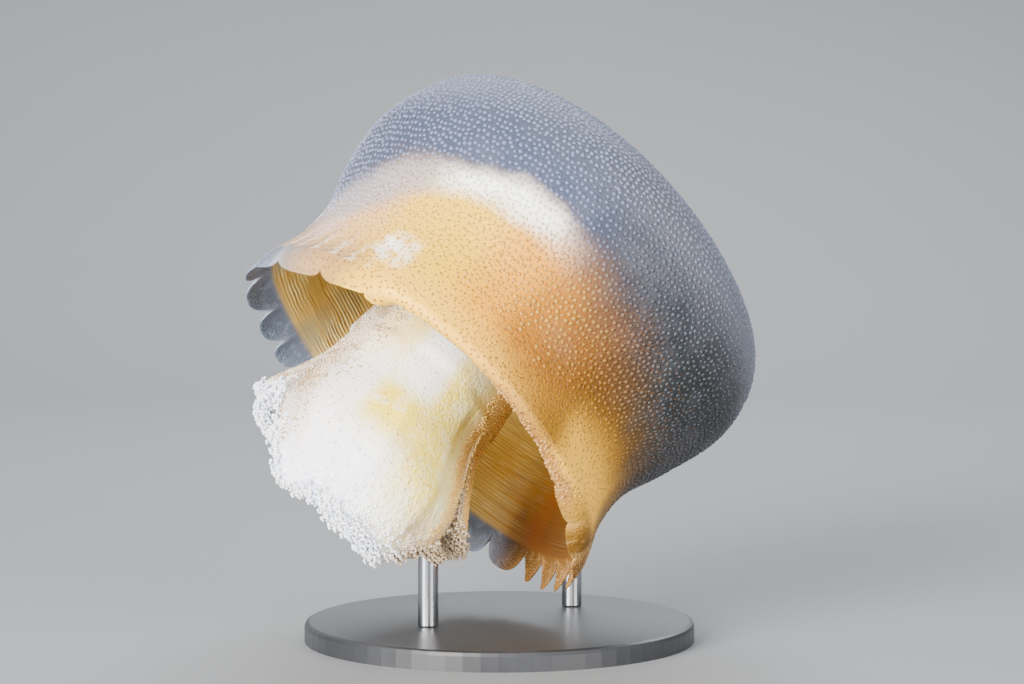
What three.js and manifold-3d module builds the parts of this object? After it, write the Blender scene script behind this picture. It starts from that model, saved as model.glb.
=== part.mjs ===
// A root-mouthed jellyfish, life size, swimming over on its side and held by a plain display stand.
//
// Millimetres. The row's origin is the middle of the stand's underside, +Z is up and -Y is the front.
// The animal is drawn in a frame of its own: its origin is the middle of the bell's mouth, z runs up
// the bell's axis to the crown, x runs across the bell and y runs to its back. An azimuth is an angle
// round that axis, from x towards y, so the front of the bell is at -90 degrees.

import * as THREE from 'three';
import Module from 'manifold-3d';
import { mergeVertices } from 'three/addons/utils/BufferGeometryUtils.js';

const DEG = Math.PI / 180;
const GAP = 0.32; // between neighbouring solids

// ---- the animal's pose over the stand ----

const POSE = {
  centre: new THREE.Vector3(-22.6, -15, 56), // middle of the bell's mouth, in the row's frame
  pitch: -4 * DEG, // the whole animal, nose up
  heel: 39.7 * DEG, // over to its right
  leanBack: -21 * DEG, // crown away from the front
};

// ---- the bell's outline, as [x, z] down each side from the crown ----

const CROWN_TOP = [-1, 86.5];
const OUTER_LEFT = [
  [-28.5, 87], [-47.3, 78.5], [-53.8, 67.9], [-56.6, 56.3],
  [-55.2, 43.8], [-52.2, 31], [-53, 19], [-55.8, 10],
];
const OUTER_RIGHT = [
  [21.4, 83.8], [43.4, 77], [59.2, 67], [63.1, 52.6],
  [58.2, 36.3], [52.7, 22.8], [52.6, 11], [55, 2.8],
];
const ROOF_TOP = [-1, 64]; // the hollow's roof, under the thick crown
const INNER_LEFT = [
  [-20, 64], [-36, 62.5], [-46, 58.5], [-50.9, 51.5],
  [-50.8, 42.5], [-49, 30.4], [-50.6, 18.3], [-54.3, 9.4],
];
const INNER_RIGHT = [
  [19, 64], [38, 62.3], [51, 57.8], [57.4, 49.2],
  [53.9, 35.3], [49.4, 22.1], [50.2, 10.6], [53.4, 2.4],
];
const RIM = OUTER_LEFT.length; // station of the rim, where the lappets spring from
const CROWN_CUT = 3.05; // station where the crown meets the wall
const HEM_CUT = 7.1; // station where the wall meets the hem

// The rim isn't level: it is pulled up at the back, and drawn up between the two sides. It isn't
// round either: one stretch of it, at the back on the left, is drawn in.
const RIM_START = 5; // station below which the rim's own shape sets in
const RIM_LIFT = { back: 2, fold: -1.5 };
const RIM_TUCK = { azimuth: 152 * DEG, depth: 4.2, sharpness: 8 };

// ---- lappets ----

const OCTANTS = 8;
const LAPPETS = [5, 3, 3, 3, 3, 3, 3, 3]; // in each octant
const HEM_CELLS = 15; // across an octant, shared out among its lappets
const LAPPET_LENGTH = 7.8;
const LAPPET_TIP_THICKNESS = 0.7;
const LAPPET_ROUND = [[0.3, 0.98], [0.62, 0.9], [0.86, 0.66], [1, 0.24]]; // [along, half width]
const LAPPET_POINTED = [[0.3, 0.93], [0.6, 0.66], [0.84, 0.34], [1, 0.06]];
const POINTED_OCTANT = 0; // low on the right, where the swimming beat has folded the lappets
// How far the lappets turn inwards over the first part of their length, as [azimuth, degrees].
const CURL_SHARE = 0.75;
const CURL = [
  [0, 15], [45, 5], [90, -5], [135, -10], [180, 15], [222, 55],
  [238, 15], [248, 140], [272, 168], [300, 140], [325, 95], [360, 15],
];

// ---- manubrium and mouth arms ----

const RIBS = 4;
const RIB_DEPTH = 0.035; // as a share of the manubrium's radius
const MANUBRIUM = [ // [height, centre x, radius]
  [63.4, -1, 22], [56, -2.5, 19.5], [44, -3.5, 18.8], [31, -4.2, 19.8], [19, -4.5, 21.6], [10.6, -4.5, 22.4],
];
const ARM_CENTRE_X = [-4.5, -2]; // middle of the ring of arms, at its root and at its tips
const ARM_ROOT_DEPTH = 10.5;
const ARM_TIP_DEPTH = 4.5;
const ARM_EDGE_DEPTH = 1.8;
const ARM_LONG = [[22.4, 10.2], [23.8, 0], [27.6, -9], [31, -18], [30.2, -28.5], [25.5, -39.5]];
const ARM_LEFT = [[22.4, 10.2], [23.6, 0], [26.6, -9], [28.6, -18], [27, -28], [22.8, -37.5]];
const ARM_SHORT = [[22.4, 10.2], [24, 2], [26.5, -4.8], [29.4, -10.4], [31.5, -14.5], [32.3, -18.2]];
const TAPER_START = 0.76; // share of an arm's length from which its sides draw in
const ROUND = 0.92; // how far a side draws in at the tip: 1 would bring it to the middle
const SQUARE = 0.35;
const SLOPED = 0.72;
// Middle azimuth, half width and outline of each arm, and how its two sides draw in.
const ARM_PLAN = [
  { azimuth: -118, half: 27.6, path: ARM_LEFT, taper: [SLOPED, SQUARE] },
  { azimuth: -60, half: 29.6, path: ARM_LONG, taper: [SQUARE, SLOPED] },
  ...[-10, 30, 70, 110, 150, 190].map((azimuth) => (
    { azimuth, half: 18, path: ARM_SHORT, taper: [ROUND, ROUND] }
  )),
];

// ---- stand ----

const BASE = { radius: 50, height: 5, edge: 1.2 };
const ROD_RADIUS = 2.6;
const ROD_CLEARANCE = 0.4; // straight up from a rod's top to the flesh
const RODS = [ // each rises to just past the flesh above it, and is cut back to follow it
  { name: 'stand_rod_front', x: -18, y: -10.5, top: 23 },
  { name: 'stand_rod_back', x: 19, y: 23, top: 37.5 },
];

const COLOURS = {
  crown: 0x8f9bb2,
  wall: 0xdfae68,
  hem: 0xb9bccb,
  manubrium: 0xf3e2b4,
  arm: 0xf4f2f6,
  base: 0x2c2d30,
  rod: 0xb8babd,
};

const wasm = await Module();
wasm.setup();

// ---- shared shape tools ----

/** A closed solid's geometry from a list of points and a list of corner triples. */
function solidGeometry(points, triangles) {
  const geometry = new THREE.BufferGeometry();
  const positions = points.flatMap((p) => [p.x, p.y, p.z]);
  geometry.setAttribute('position', new THREE.Float32BufferAttribute(positions, 3));
  geometry.setIndex(triangles.flat());
  geometry.computeVertexNormals();
  return geometry;
}

/**
 * A closed solid between an outer and an inner skin that share one patchwork of cells.
 * A cell lists its corners anticlockwise as seen from outside; the open edges are walled in.
 */
function shellGeometry(outer, inner, cells) {
  const count = outer.length;
  const triangles = [];
  const edges = new Set();
  for (const cell of cells) {
    for (let i = 2; i < cell.length; i += 1) {
      triangles.push([cell[0], cell[i - 1], cell[i]]);
      triangles.push([cell[0] + count, cell[i] + count, cell[i - 1] + count]);
    }
    cell.forEach((corner, i) => edges.add(`${corner},${cell[(i + 1) % cell.length]}`));
  }
  for (const edge of edges) {
    const [a, b] = edge.split(',').map(Number);
    if (!edges.has(`${b},${a}`)) {
      triangles.push([b, a, a + count]);
      triangles.push([b, a + count, b + count]);
    }
  }
  return solidGeometry([...outer, ...inner], triangles);
}

/** The cells of a grid with the given numbers of rows and columns of cells. */
function gridCells(rows, columns) {
  const cells = [];
  const at = (row, column) => row * (columns + 1) + column;
  for (let row = 0; row < rows; row += 1) {
    for (let column = 0; column < columns; column += 1) {
      cells.push([at(row, column), at(row + 1, column), at(row + 1, column + 1), at(row, column + 1)]);
    }
  }
  return cells;
}

/** A geometry as a solid that can be cut. */
function toSolid(geometry) {
  const bare = geometry.clone();
  bare.deleteAttribute('normal');
  bare.deleteAttribute('uv');
  const merged = mergeVertices(bare, 1e-4);
  return new wasm.Manifold(new wasm.Mesh({
    numProp: 3,
    vertProperties: merged.attributes.position.array,
    triVerts: new Uint32Array(merged.index.array),
  }));
}

/** The geometry of a cut solid. */
function fromSolid(solid) {
  const { vertProperties, triVerts } = solid.getMesh();
  const geometry = new THREE.BufferGeometry();
  geometry.setAttribute('position', new THREE.BufferAttribute(vertProperties, 3));
  geometry.setIndex(new THREE.BufferAttribute(triVerts, 1));
  geometry.computeVertexNormals();
  return geometry;
}

function smoothStep(from, to, value) {
  return THREE.MathUtils.smoothstep(value, from, to);
}

function mesh(name, geometry, colour, roughness = 0.35, metalness = 0) {
  const material = new THREE.MeshStandardMaterial({ color: colour, roughness, metalness });
  const made = new THREE.Mesh(geometry, material);
  made.name = name;
  return made;
}

// ---- the bell ----

/** One skin of the bell: rings strung between a left and a right outline. */
class BellSkin {
  constructor(left, top, right) {
    const whole = [...left.toReversed(), top, ...right];
    this.curve = new THREE.SplineCurve(whole.map(([x, z]) => new THREE.Vector2(x, z)));
  }

  /** The point at a station, 0 at the crown and RIM at the rim, and an azimuth. */
  point(station, azimuth) {
    const left = this.curve.getPoint((RIM - station) / (2 * RIM));
    const right = this.curve.getPoint((RIM + station) / (2 * RIM));
    const middle = left.clone().add(right).multiplyScalar(0.5);
    const half = right.clone().sub(left).multiplyScalar(0.5);
    const nearRim = smoothStep(RIM_START, RIM, station);
    const lift = RIM_LIFT.back * Math.sin(azimuth) + RIM_LIFT.fold * (Math.cos(2 * azimuth) - 1);
    const facing = Math.max(0, Math.cos(azimuth - RIM_TUCK.azimuth));
    const tuck = nearRim * RIM_TUCK.depth * facing ** RIM_TUCK.sharpness;
    return new THREE.Vector3(
      middle.x + (half.x - tuck) * Math.cos(azimuth),
      (half.length() - tuck) * Math.sin(azimuth),
      middle.y + half.y * Math.cos(azimuth) + lift * nearRim,
    );
  }
}

const OUTER = new BellSkin(OUTER_LEFT, CROWN_TOP, OUTER_RIGHT);
const INNER = new BellSkin(INNER_LEFT, ROOF_TOP, INNER_RIGHT);

/** The thick crown, closed over its top, down to the cut where the wall begins. */
function crown() {
  const columns = 40;
  const stations = [0.35, 0.8, 1.25, 1.7, 2.1, 2.45, 2.75, CROWN_CUT];
  const ringOf = (skin, station) => Array.from(
    { length: columns },
    (_, i) => skin.point(station, (i / columns) * 2 * Math.PI),
  );
  const skinOf = (skin) => [skin.point(0, 0), ...stations.flatMap((s) => ringOf(skin, s))];
  const at = (row, column) => 1 + row * columns + (column % columns);
  const cells = [];
  for (let i = 0; i < columns; i += 1) {
    cells.push([0, at(0, i), at(0, i + 1)]);
    for (let row = 0; row + 1 < stations.length; row += 1) {
      cells.push([at(row, i), at(row + 1, i), at(row + 1, i + 1), at(row, i + 1)]);
    }
  }
  return mesh('bell_crown', shellGeometry(skinOf(OUTER), skinOf(INNER), cells), COLOURS.crown);
}

/** First and last azimuth of an octant, less half a gap at each end. */
function octantSpan(octant) {
  const inset = GAP / 2 / 50;
  const width = (2 * Math.PI) / OCTANTS;
  return [octant * width + inset, (octant + 1) * width - inset];
}

/** One eighth of the bell's wall, from the crown's cut down to the hem's. */
function wallOctant(octant) {
  const [first, last] = octantSpan(octant);
  const rows = 6;
  const columns = 5;
  const top = CROWN_CUT + 0.022;
  const skinOf = (skin) => {
    const points = [];
    for (let row = 0; row <= rows; row += 1) {
      const station = THREE.MathUtils.lerp(top, HEM_CUT, row / rows);
      for (let column = 0; column <= columns; column += 1) {
        points.push(skin.point(station, THREE.MathUtils.lerp(first, last, column / columns)));
      }
    }
    return points;
  };
  const geometry = shellGeometry(skinOf(OUTER), skinOf(INNER), gridCells(rows, columns));
  return mesh(`bell_wall_${octant + 1}`, geometry, COLOURS.wall);
}

/** How far a lappet at this azimuth turns inwards, in radians. */
function curlAt(azimuth) {
  const degrees = THREE.MathUtils.euclideanModulo(azimuth / DEG, 360);
  const next = CURL.findIndex(([at]) => at > degrees);
  const [from, before] = CURL[next - 1];
  const [to, after] = CURL[next];
  return DEG * THREE.MathUtils.lerp(before, after, smoothStep(from, to, degrees));
}

/** A point on a lappet's outer and inner face: along is 0 at the rim and 1 at the tip. */
function lappetPoints(azimuth, along) {
  const rim = OUTER.point(RIM, azimuth);
  const back = rim.distanceTo(INNER.point(RIM, azimuth));
  const down = rim.clone().sub(OUTER.point(RIM - 0.2, azimuth)).normalize();
  const round = OUTER.point(RIM, azimuth + 0.02).sub(OUTER.point(RIM, azimuth - 0.02));
  const outward = down.clone().cross(round).normalize();
  const rate = curlAt(azimuth) / CURL_SHARE;
  const bent = Math.min(along, CURL_SHARE);
  const turn = rate * bent;
  const straight = along - bent;
  const fall = (Math.abs(turn) < 1e-4 ? bent : Math.sin(turn) / rate) + straight * Math.cos(turn);
  const drift = (Math.abs(turn) < 1e-4 ? 0 : (1 - Math.cos(turn)) / rate) + straight * Math.sin(turn);
  const outer = rim.clone()
    .addScaledVector(down, LAPPET_LENGTH * fall)
    .addScaledVector(outward, -LAPPET_LENGTH * drift);
  const facing = outward.clone().multiplyScalar(Math.cos(turn)).addScaledVector(down, Math.sin(turn));
  const thickness = THREE.MathUtils.lerp(back, LAPPET_TIP_THICKNESS, Math.sqrt(along));
  return [outer, outer.clone().addScaledVector(facing, -thickness)];
}

/** One eighth of the hem, with its lappets. */
function marginOctant(octant) {
  const [first, last] = octantSpan(octant);
  const outline = octant === POINTED_OCTANT ? LAPPET_POINTED : LAPPET_ROUND;
  const cellsAcross = HEM_CELLS / LAPPETS[octant];
  const pitch = (last - first) / LAPPETS[octant];
  const outer = [];
  const inner = [];
  const cells = [];
  const add = (pair) => {
    outer.push(pair[0]);
    inner.push(pair[1]);
    return outer.length - 1;
  };
  const band = [HEM_CUT + 0.035, RIM].map((station) => {
    const row = [];
    for (let column = 0; column <= HEM_CELLS; column += 1) {
      const azimuth = first + (column / cellsAcross) * pitch;
      row.push(add([OUTER.point(station, azimuth), INNER.point(station, azimuth)]));
    }
    return row;
  });
  const strip = (upper, lower) => {
    for (let i = 0; i + 1 < upper.length; i += 1) {
      cells.push([upper[i], lower[i], lower[i + 1], upper[i + 1]]);
    }
  };
  strip(band[0], band[1]);
  for (let lappet = 0; lappet < LAPPETS[octant]; lappet += 1) {
    const middle = first + (lappet + 0.5) * pitch;
    let upper = band[1].slice(lappet * cellsAcross, (lappet + 1) * cellsAcross + 1);
    for (const [along, half] of outline) {
      const lower = upper.map((_, i) => {
        const across = ((2 * i) / cellsAcross - 1) * half;
        return add(lappetPoints(middle + (across * pitch) / 2, along));
      });
      strip(upper, lower);
      upper = lower;
    }
  }
  return mesh(`bell_margin_${octant + 1}`, shellGeometry(outer, inner, cells), COLOURS.hem);
}

// ---- manubrium and mouth arms ----

/** The trunk under the crown: rings with four low ribs, closed at both ends. */
function manubrium() {
  const sides = 24;
  const points = [new THREE.Vector3(MANUBRIUM[0][1], 0, MANUBRIUM[0][0])];
  for (const [height, x, radius] of MANUBRIUM) {
    for (let i = 0; i < sides; i += 1) {
      const azimuth = (i / sides) * 2 * Math.PI;
      const ribbed = radius * (1 + RIB_DEPTH * Math.cos(RIBS * azimuth));
      points.push(new THREE.Vector3(x + ribbed * Math.cos(azimuth), ribbed * Math.sin(azimuth), height));
    }
  }
  const last = MANUBRIUM.length - 1;
  points.push(new THREE.Vector3(MANUBRIUM[last][1], 0, MANUBRIUM[last][0]));
  const at = (row, i) => 1 + row * sides + (i % sides);
  const triangles = [];
  for (let i = 0; i < sides; i += 1) {
    triangles.push([0, at(0, i), at(0, i + 1)]);
    triangles.push([points.length - 1, at(last, i + 1), at(last, i)]);
    for (let row = 0; row < last; row += 1) {
      triangles.push([at(row, i), at(row + 1, i), at(row + 1, i + 1)]);
      triangles.push([at(row, i), at(row + 1, i + 1), at(row, i + 1)]);
    }
  }
  return mesh('manubrium', solidGeometry(points, triangles), COLOURS.manubrium);
}

/** One mouth arm: a leaf with a smooth outer face, a thick inner keel and thin edges. */
function mouthArm(plan, number) {
  const rows = 8;
  const columns = 6;
  const path = new THREE.SplineCurve(plan.path.map(([r, z]) => new THREE.Vector2(r, z)));
  const outer = [];
  const inner = [];
  for (let row = 0; row <= rows; row += 1) {
    const along = row / rows;
    const drawn = smoothStep(TAPER_START, 1, along);
    const [before, after] = plan.taper.map((taper) => Math.sqrt(1 - (taper * drawn) ** 2));
    for (let column = 0; column <= columns; column += 1) {
      const across = (2 * column) / columns - 1;
      const azimuth = (plan.azimuth + plan.half * across * (across < 0 ? before : after)) * DEG;
      const spot = path.getPoint(along);
      const slope = path.getTangent(along);
      const inset = azimuth - (Math.sign(across) * GAP) / 2 / spot.x;
      const x = THREE.MathUtils.lerp(...ARM_CENTRE_X, along);
      const keel = THREE.MathUtils.lerp(ARM_ROOT_DEPTH, ARM_TIP_DEPTH, along);
      const depth = THREE.MathUtils.lerp(keel, ARM_EDGE_DEPTH, across ** 2);
      const place = (r, z) => new THREE.Vector3(x + r * Math.cos(inset), r * Math.sin(inset), z);
      outer.push(place(spot.x, spot.y));
      inner.push(place(spot.x + depth * slope.y, spot.y - depth * slope.x));
    }
  }
  const geometry = shellGeometry(outer, inner, gridCells(rows, columns));
  return mesh(`mouth_arm_${number + 1}`, geometry, COLOURS.arm);
}

// ---- the stand ----

/** A lathe's geometry, turned so that its axis is +Z. */
function turned(profile, sides) {
  const points = profile.map(([r, z]) => new THREE.Vector2(r, z));
  return new THREE.LatheGeometry(points, sides).rotateX(Math.PI / 2);
}

function standBase() {
  const { radius, height, edge } = BASE;
  const profile = [[0, 0], [radius, 0], [radius, height - edge]];
  profile.push([radius - edge * 0.3, height - edge * 0.3], [radius - edge, height], [0, height]);
  return mesh('stand_base', turned(profile, 72), COLOURS.base, 0.4);
}

/** A rod from the base up to the flesh, its top following the flesh a gap below it. */
function standRod({ name, x, y, top }, flesh) {
  const profile = [[0, 0], [ROD_RADIUS, 0], [ROD_RADIUS, 1], [0, 1]];
  const rod = turned(profile, 24).scale(1, 1, top - BASE.height - GAP);
  rod.translate(x, y, BASE.height + GAP);
  const cut = flesh.reduce((solid, piece) => solid.subtract(piece), toSolid(rod));
  return mesh(name, fromSolid(cut), COLOURS.rod, 0.25, 1);
}

// ---- assembly ----

const animal = new THREE.Group();
animal.rotation.x = POSE.leanBack;
animal.add(crown());
for (let octant = 0; octant < OCTANTS; octant += 1) {
  animal.add(wallOctant(octant), marginOctant(octant));
}
animal.add(manubrium());
animal.add(...ARM_PLAN.map(mouthArm));

const heeled = new THREE.Group();
heeled.rotation.y = POSE.heel;
heeled.add(animal);

const pitched = new THREE.Group();
pitched.rotation.x = POSE.pitch;
pitched.position.copy(POSE.centre);
pitched.add(heeled);
pitched.updateMatrixWorld(true);

const flesh = animal.children.map(({ geometry, matrixWorld }) => toSolid(
  geometry.clone().applyMatrix4(matrixWorld).translate(0, 0, -ROD_CLEARANCE),
));

const jellyfish = new THREE.Group();
jellyfish.add(pitched, standBase(), ...RODS.map((rod) => standRod(rod, flesh)));

export default jellyfish;
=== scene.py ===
"""Finishes for a root-mouthed jellyfish that swims over on its side above a display stand.

All the flesh is one closed skin. It runs from the crown down the bell, round the lappets, up the
hollow, down the trunk and round the mouth arms to the mouth. Warts, beads and granules stand on it.
The animal has a frame of its own in millimetres: z runs up the bell's axis, x across it and y to its
back. An azimuth is an angle round that axis, from x towards y. The row's frame is in metres.

The mark run says how far along the skin's way a point is: 0 to 8 from the crown down the bell to its
rim, then by the marks RIM to POLE below.
"""

import logging
import math
from dataclasses import dataclass, field
from enum import Enum
from functools import reduce

import bpy
import numpy as np
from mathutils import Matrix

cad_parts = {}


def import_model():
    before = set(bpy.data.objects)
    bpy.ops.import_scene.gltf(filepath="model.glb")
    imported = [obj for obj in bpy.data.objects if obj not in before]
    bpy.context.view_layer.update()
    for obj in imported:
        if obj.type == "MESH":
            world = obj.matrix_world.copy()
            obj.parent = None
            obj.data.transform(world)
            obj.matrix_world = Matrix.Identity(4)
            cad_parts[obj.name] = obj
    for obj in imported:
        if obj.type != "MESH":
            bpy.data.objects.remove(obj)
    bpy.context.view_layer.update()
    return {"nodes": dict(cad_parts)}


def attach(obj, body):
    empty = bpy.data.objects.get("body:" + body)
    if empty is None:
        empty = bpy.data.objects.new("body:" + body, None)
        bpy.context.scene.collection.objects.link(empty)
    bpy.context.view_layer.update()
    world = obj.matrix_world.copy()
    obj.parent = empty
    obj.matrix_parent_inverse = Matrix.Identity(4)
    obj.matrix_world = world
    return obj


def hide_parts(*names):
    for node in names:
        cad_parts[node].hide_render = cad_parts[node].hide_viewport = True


LOG = logging.getLogger("jellyfish")
MM = 0.001
BAKE_MAP = "OFBake"
RIM, LIP, HOLLOW, ROOF, TRUNK, ARMS, EDGES, MOUTH, POLE = 8.0, 9.0, 10.0, 18.0, 19.0, 20.0, 21.0, 22.0, 23.0
HALF_TURN = 180.0
MIX_SHARE, MIX_FIRST, MIX_SECOND, MIX_RESULT = 0, 6, 7, 2
Socket = bpy.types.NodeSocket
Tone = tuple[int, int, int]
Value = Socket | float | tuple


# ---------------------------------------------------------------- shape tools


def step(low: float, high: float, value: np.ndarray) -> np.ndarray:
    """Eases from 0 at low to 1 at high, which may be below low."""
    share = np.clip((value - low) / (high - low), 0, 1)
    return share * share * (3 - 2 * share)


def band(value: np.ndarray, start: float, full: float, fading: float, end: float) -> np.ndarray:
    """Eases from 0 at start to 1 at full, and from 1 at fading to 0 at end."""
    return step(start, full, value) * step(end, fading, value)


def unit(vectors: np.ndarray) -> np.ndarray:
    """Returns the vectors scaled to length one."""
    return vectors / np.maximum(np.linalg.norm(vectors, axis=-1, keepdims=True), 1e-9)


def mixed(a: np.ndarray, b: np.ndarray, share: np.ndarray) -> np.ndarray:
    """Returns the blend from a to b."""
    return a + (b - a) * share


def signed(azimuth: np.ndarray) -> np.ndarray:
    """Returns azimuths in degrees, from -180 to 180."""
    return (np.degrees(azimuth) + HALF_TURN) % (2 * HALF_TURN) - HALF_TURN


class Curve:
    """A smooth plane curve through a few points, at even steps of its parameter."""

    def __init__(self, points: list[tuple[float, float]]) -> None:
        """Keeps the points that the curve passes through."""
        self.points = np.array(points, float)

    def at(self, share: np.ndarray) -> np.ndarray:
        """Finds points on the curve.

        Args:
            share: How far along, from 0 to 1.

        Returns:
            The points, with a last axis of two.
        """
        last = len(self.points) - 1
        place = np.clip(np.asarray(share, float), 0, 1) * last
        index = np.minimum(np.floor(place).astype(int), last)
        rest = (place - index)[..., None]
        before, start, end, after = (
            self.points[np.clip(index + shift, 0, last)] for shift in (-1, 0, 1, 2)
        )
        leave, arrive = (end - before) / 2, (after - start) / 2
        cubic = (2 * start - 2 * end + leave + arrive) * rest**3
        square = (-3 * start + 3 * end - 2 * leave - arrive) * rest**2
        return cubic + square + leave * rest + start


@dataclass(frozen=True)
class Pose:
    """How the animal's own frame lies in the row's frame."""

    centre: tuple[float, float, float] = (-22.6, -15.0, 56.0)
    pitch: float = -4.0
    heel: float = 39.7
    lean: float = -21.0

    def to_row(self, points: np.ndarray) -> np.ndarray:
        """Moves points in millimetres from the animal's frame to the row's, in metres."""
        turn = self._about_x(self.pitch) @ self._about_y(self.heel) @ self._about_x(self.lean)
        return (points @ turn.T + np.array(self.centre)) * MM

    @staticmethod
    def _about_x(degrees: float) -> np.ndarray:
        """Returns a turn about X."""
        c, s = math.cos(math.radians(degrees)), math.sin(math.radians(degrees))
        return np.array([[1, 0, 0], [0, c, -s], [0, s, c]])

    @staticmethod
    def _about_y(degrees: float) -> np.ndarray:
        """Returns a turn about Y."""
        c, s = math.cos(math.radians(degrees)), math.sin(math.radians(degrees))
        return np.array([[c, 0, s], [0, 1, 0], [-s, 0, c]])


# ---------------------------------------------------------------- the body's form


@dataclass
class BellForm:
    """The bell's two faces, from stations 0 at the crown to 8 at the rim."""

    crown_top: tuple[float, float] = (-1, 86.5)
    outer_left: tuple = (
        (-28.5, 87), (-47.3, 78.5), (-53.8, 67.9), (-56.6, 56.3),
        (-55.2, 43.8), (-52.2, 31), (-53, 19), (-55.8, 10),
    )
    outer_right: tuple = (
        (21.4, 83.8), (43.4, 77), (59.2, 67), (63.1, 52.6),
        (58.2, 36.3), (52.7, 22.8), (52.6, 11), (55, 2.8),
    )
    roof_top: tuple[float, float] = (-1, 64)
    inner_left: tuple = (
        (-20, 64), (-36, 62.5), (-46, 58.5), (-50.9, 51.5),
        (-50.8, 42.5), (-49, 30.4), (-50.6, 18.3), (-54.3, 9.4),
    )
    inner_right: tuple = (
        (19, 64), (38, 62.3), (51, 57.8), (57.4, 49.2),
        (53.9, 35.3), (49.4, 22.1), (50.2, 10.6), (53.4, 2.4),
    )
    stations: float = 8.0
    rim_start: float = 5.0
    back_lift: float = 2.0
    fold_lift: float = -1.5
    tuck_azimuth: float = 152.0
    tuck_depth: float = 4.2
    tuck_sharpness: float = 8.0

    def __post_init__(self) -> None:
        """Strings each face between its left and right outlines."""
        self.outer = Curve([*self.outer_left[::-1], self.crown_top, *self.outer_right])
        self.inner = Curve([*self.inner_left[::-1], self.roof_top, *self.inner_right])

    def point(self, face: Curve, station: np.ndarray, azimuth: np.ndarray) -> np.ndarray:
        """Finds points on a face.

        Args:
            face: The outer or inner curve.
            station: Stations, in the shape of azimuth or one that broadcasts to it.
            azimuth: Azimuths in radians.

        Returns:
            Points in the animal's frame.
        """
        station, azimuth = np.broadcast_arrays(np.asarray(station, float), azimuth)
        left = face.at((self.stations - station) / (2 * self.stations))
        right = face.at((self.stations + station) / (2 * self.stations))
        middle, half = (left + right) / 2, (right - left) / 2
        near_rim = step(self.rim_start, self.stations, station)
        lift = self.back_lift * np.sin(azimuth) + self.fold_lift * (np.cos(2 * azimuth) - 1)
        facing = np.maximum(0, np.cos(azimuth - math.radians(self.tuck_azimuth)))
        tuck = near_rim * self.tuck_depth * facing**self.tuck_sharpness
        across = middle[..., 0] + (half[..., 0] - tuck) * np.cos(azimuth)
        deep = (np.linalg.norm(half, axis=-1) - tuck) * np.sin(azimuth)
        height = middle[..., 1] + half[..., 1] * np.cos(azimuth) + lift * near_rim
        return np.stack([across, deep, height], axis=-1)


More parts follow.
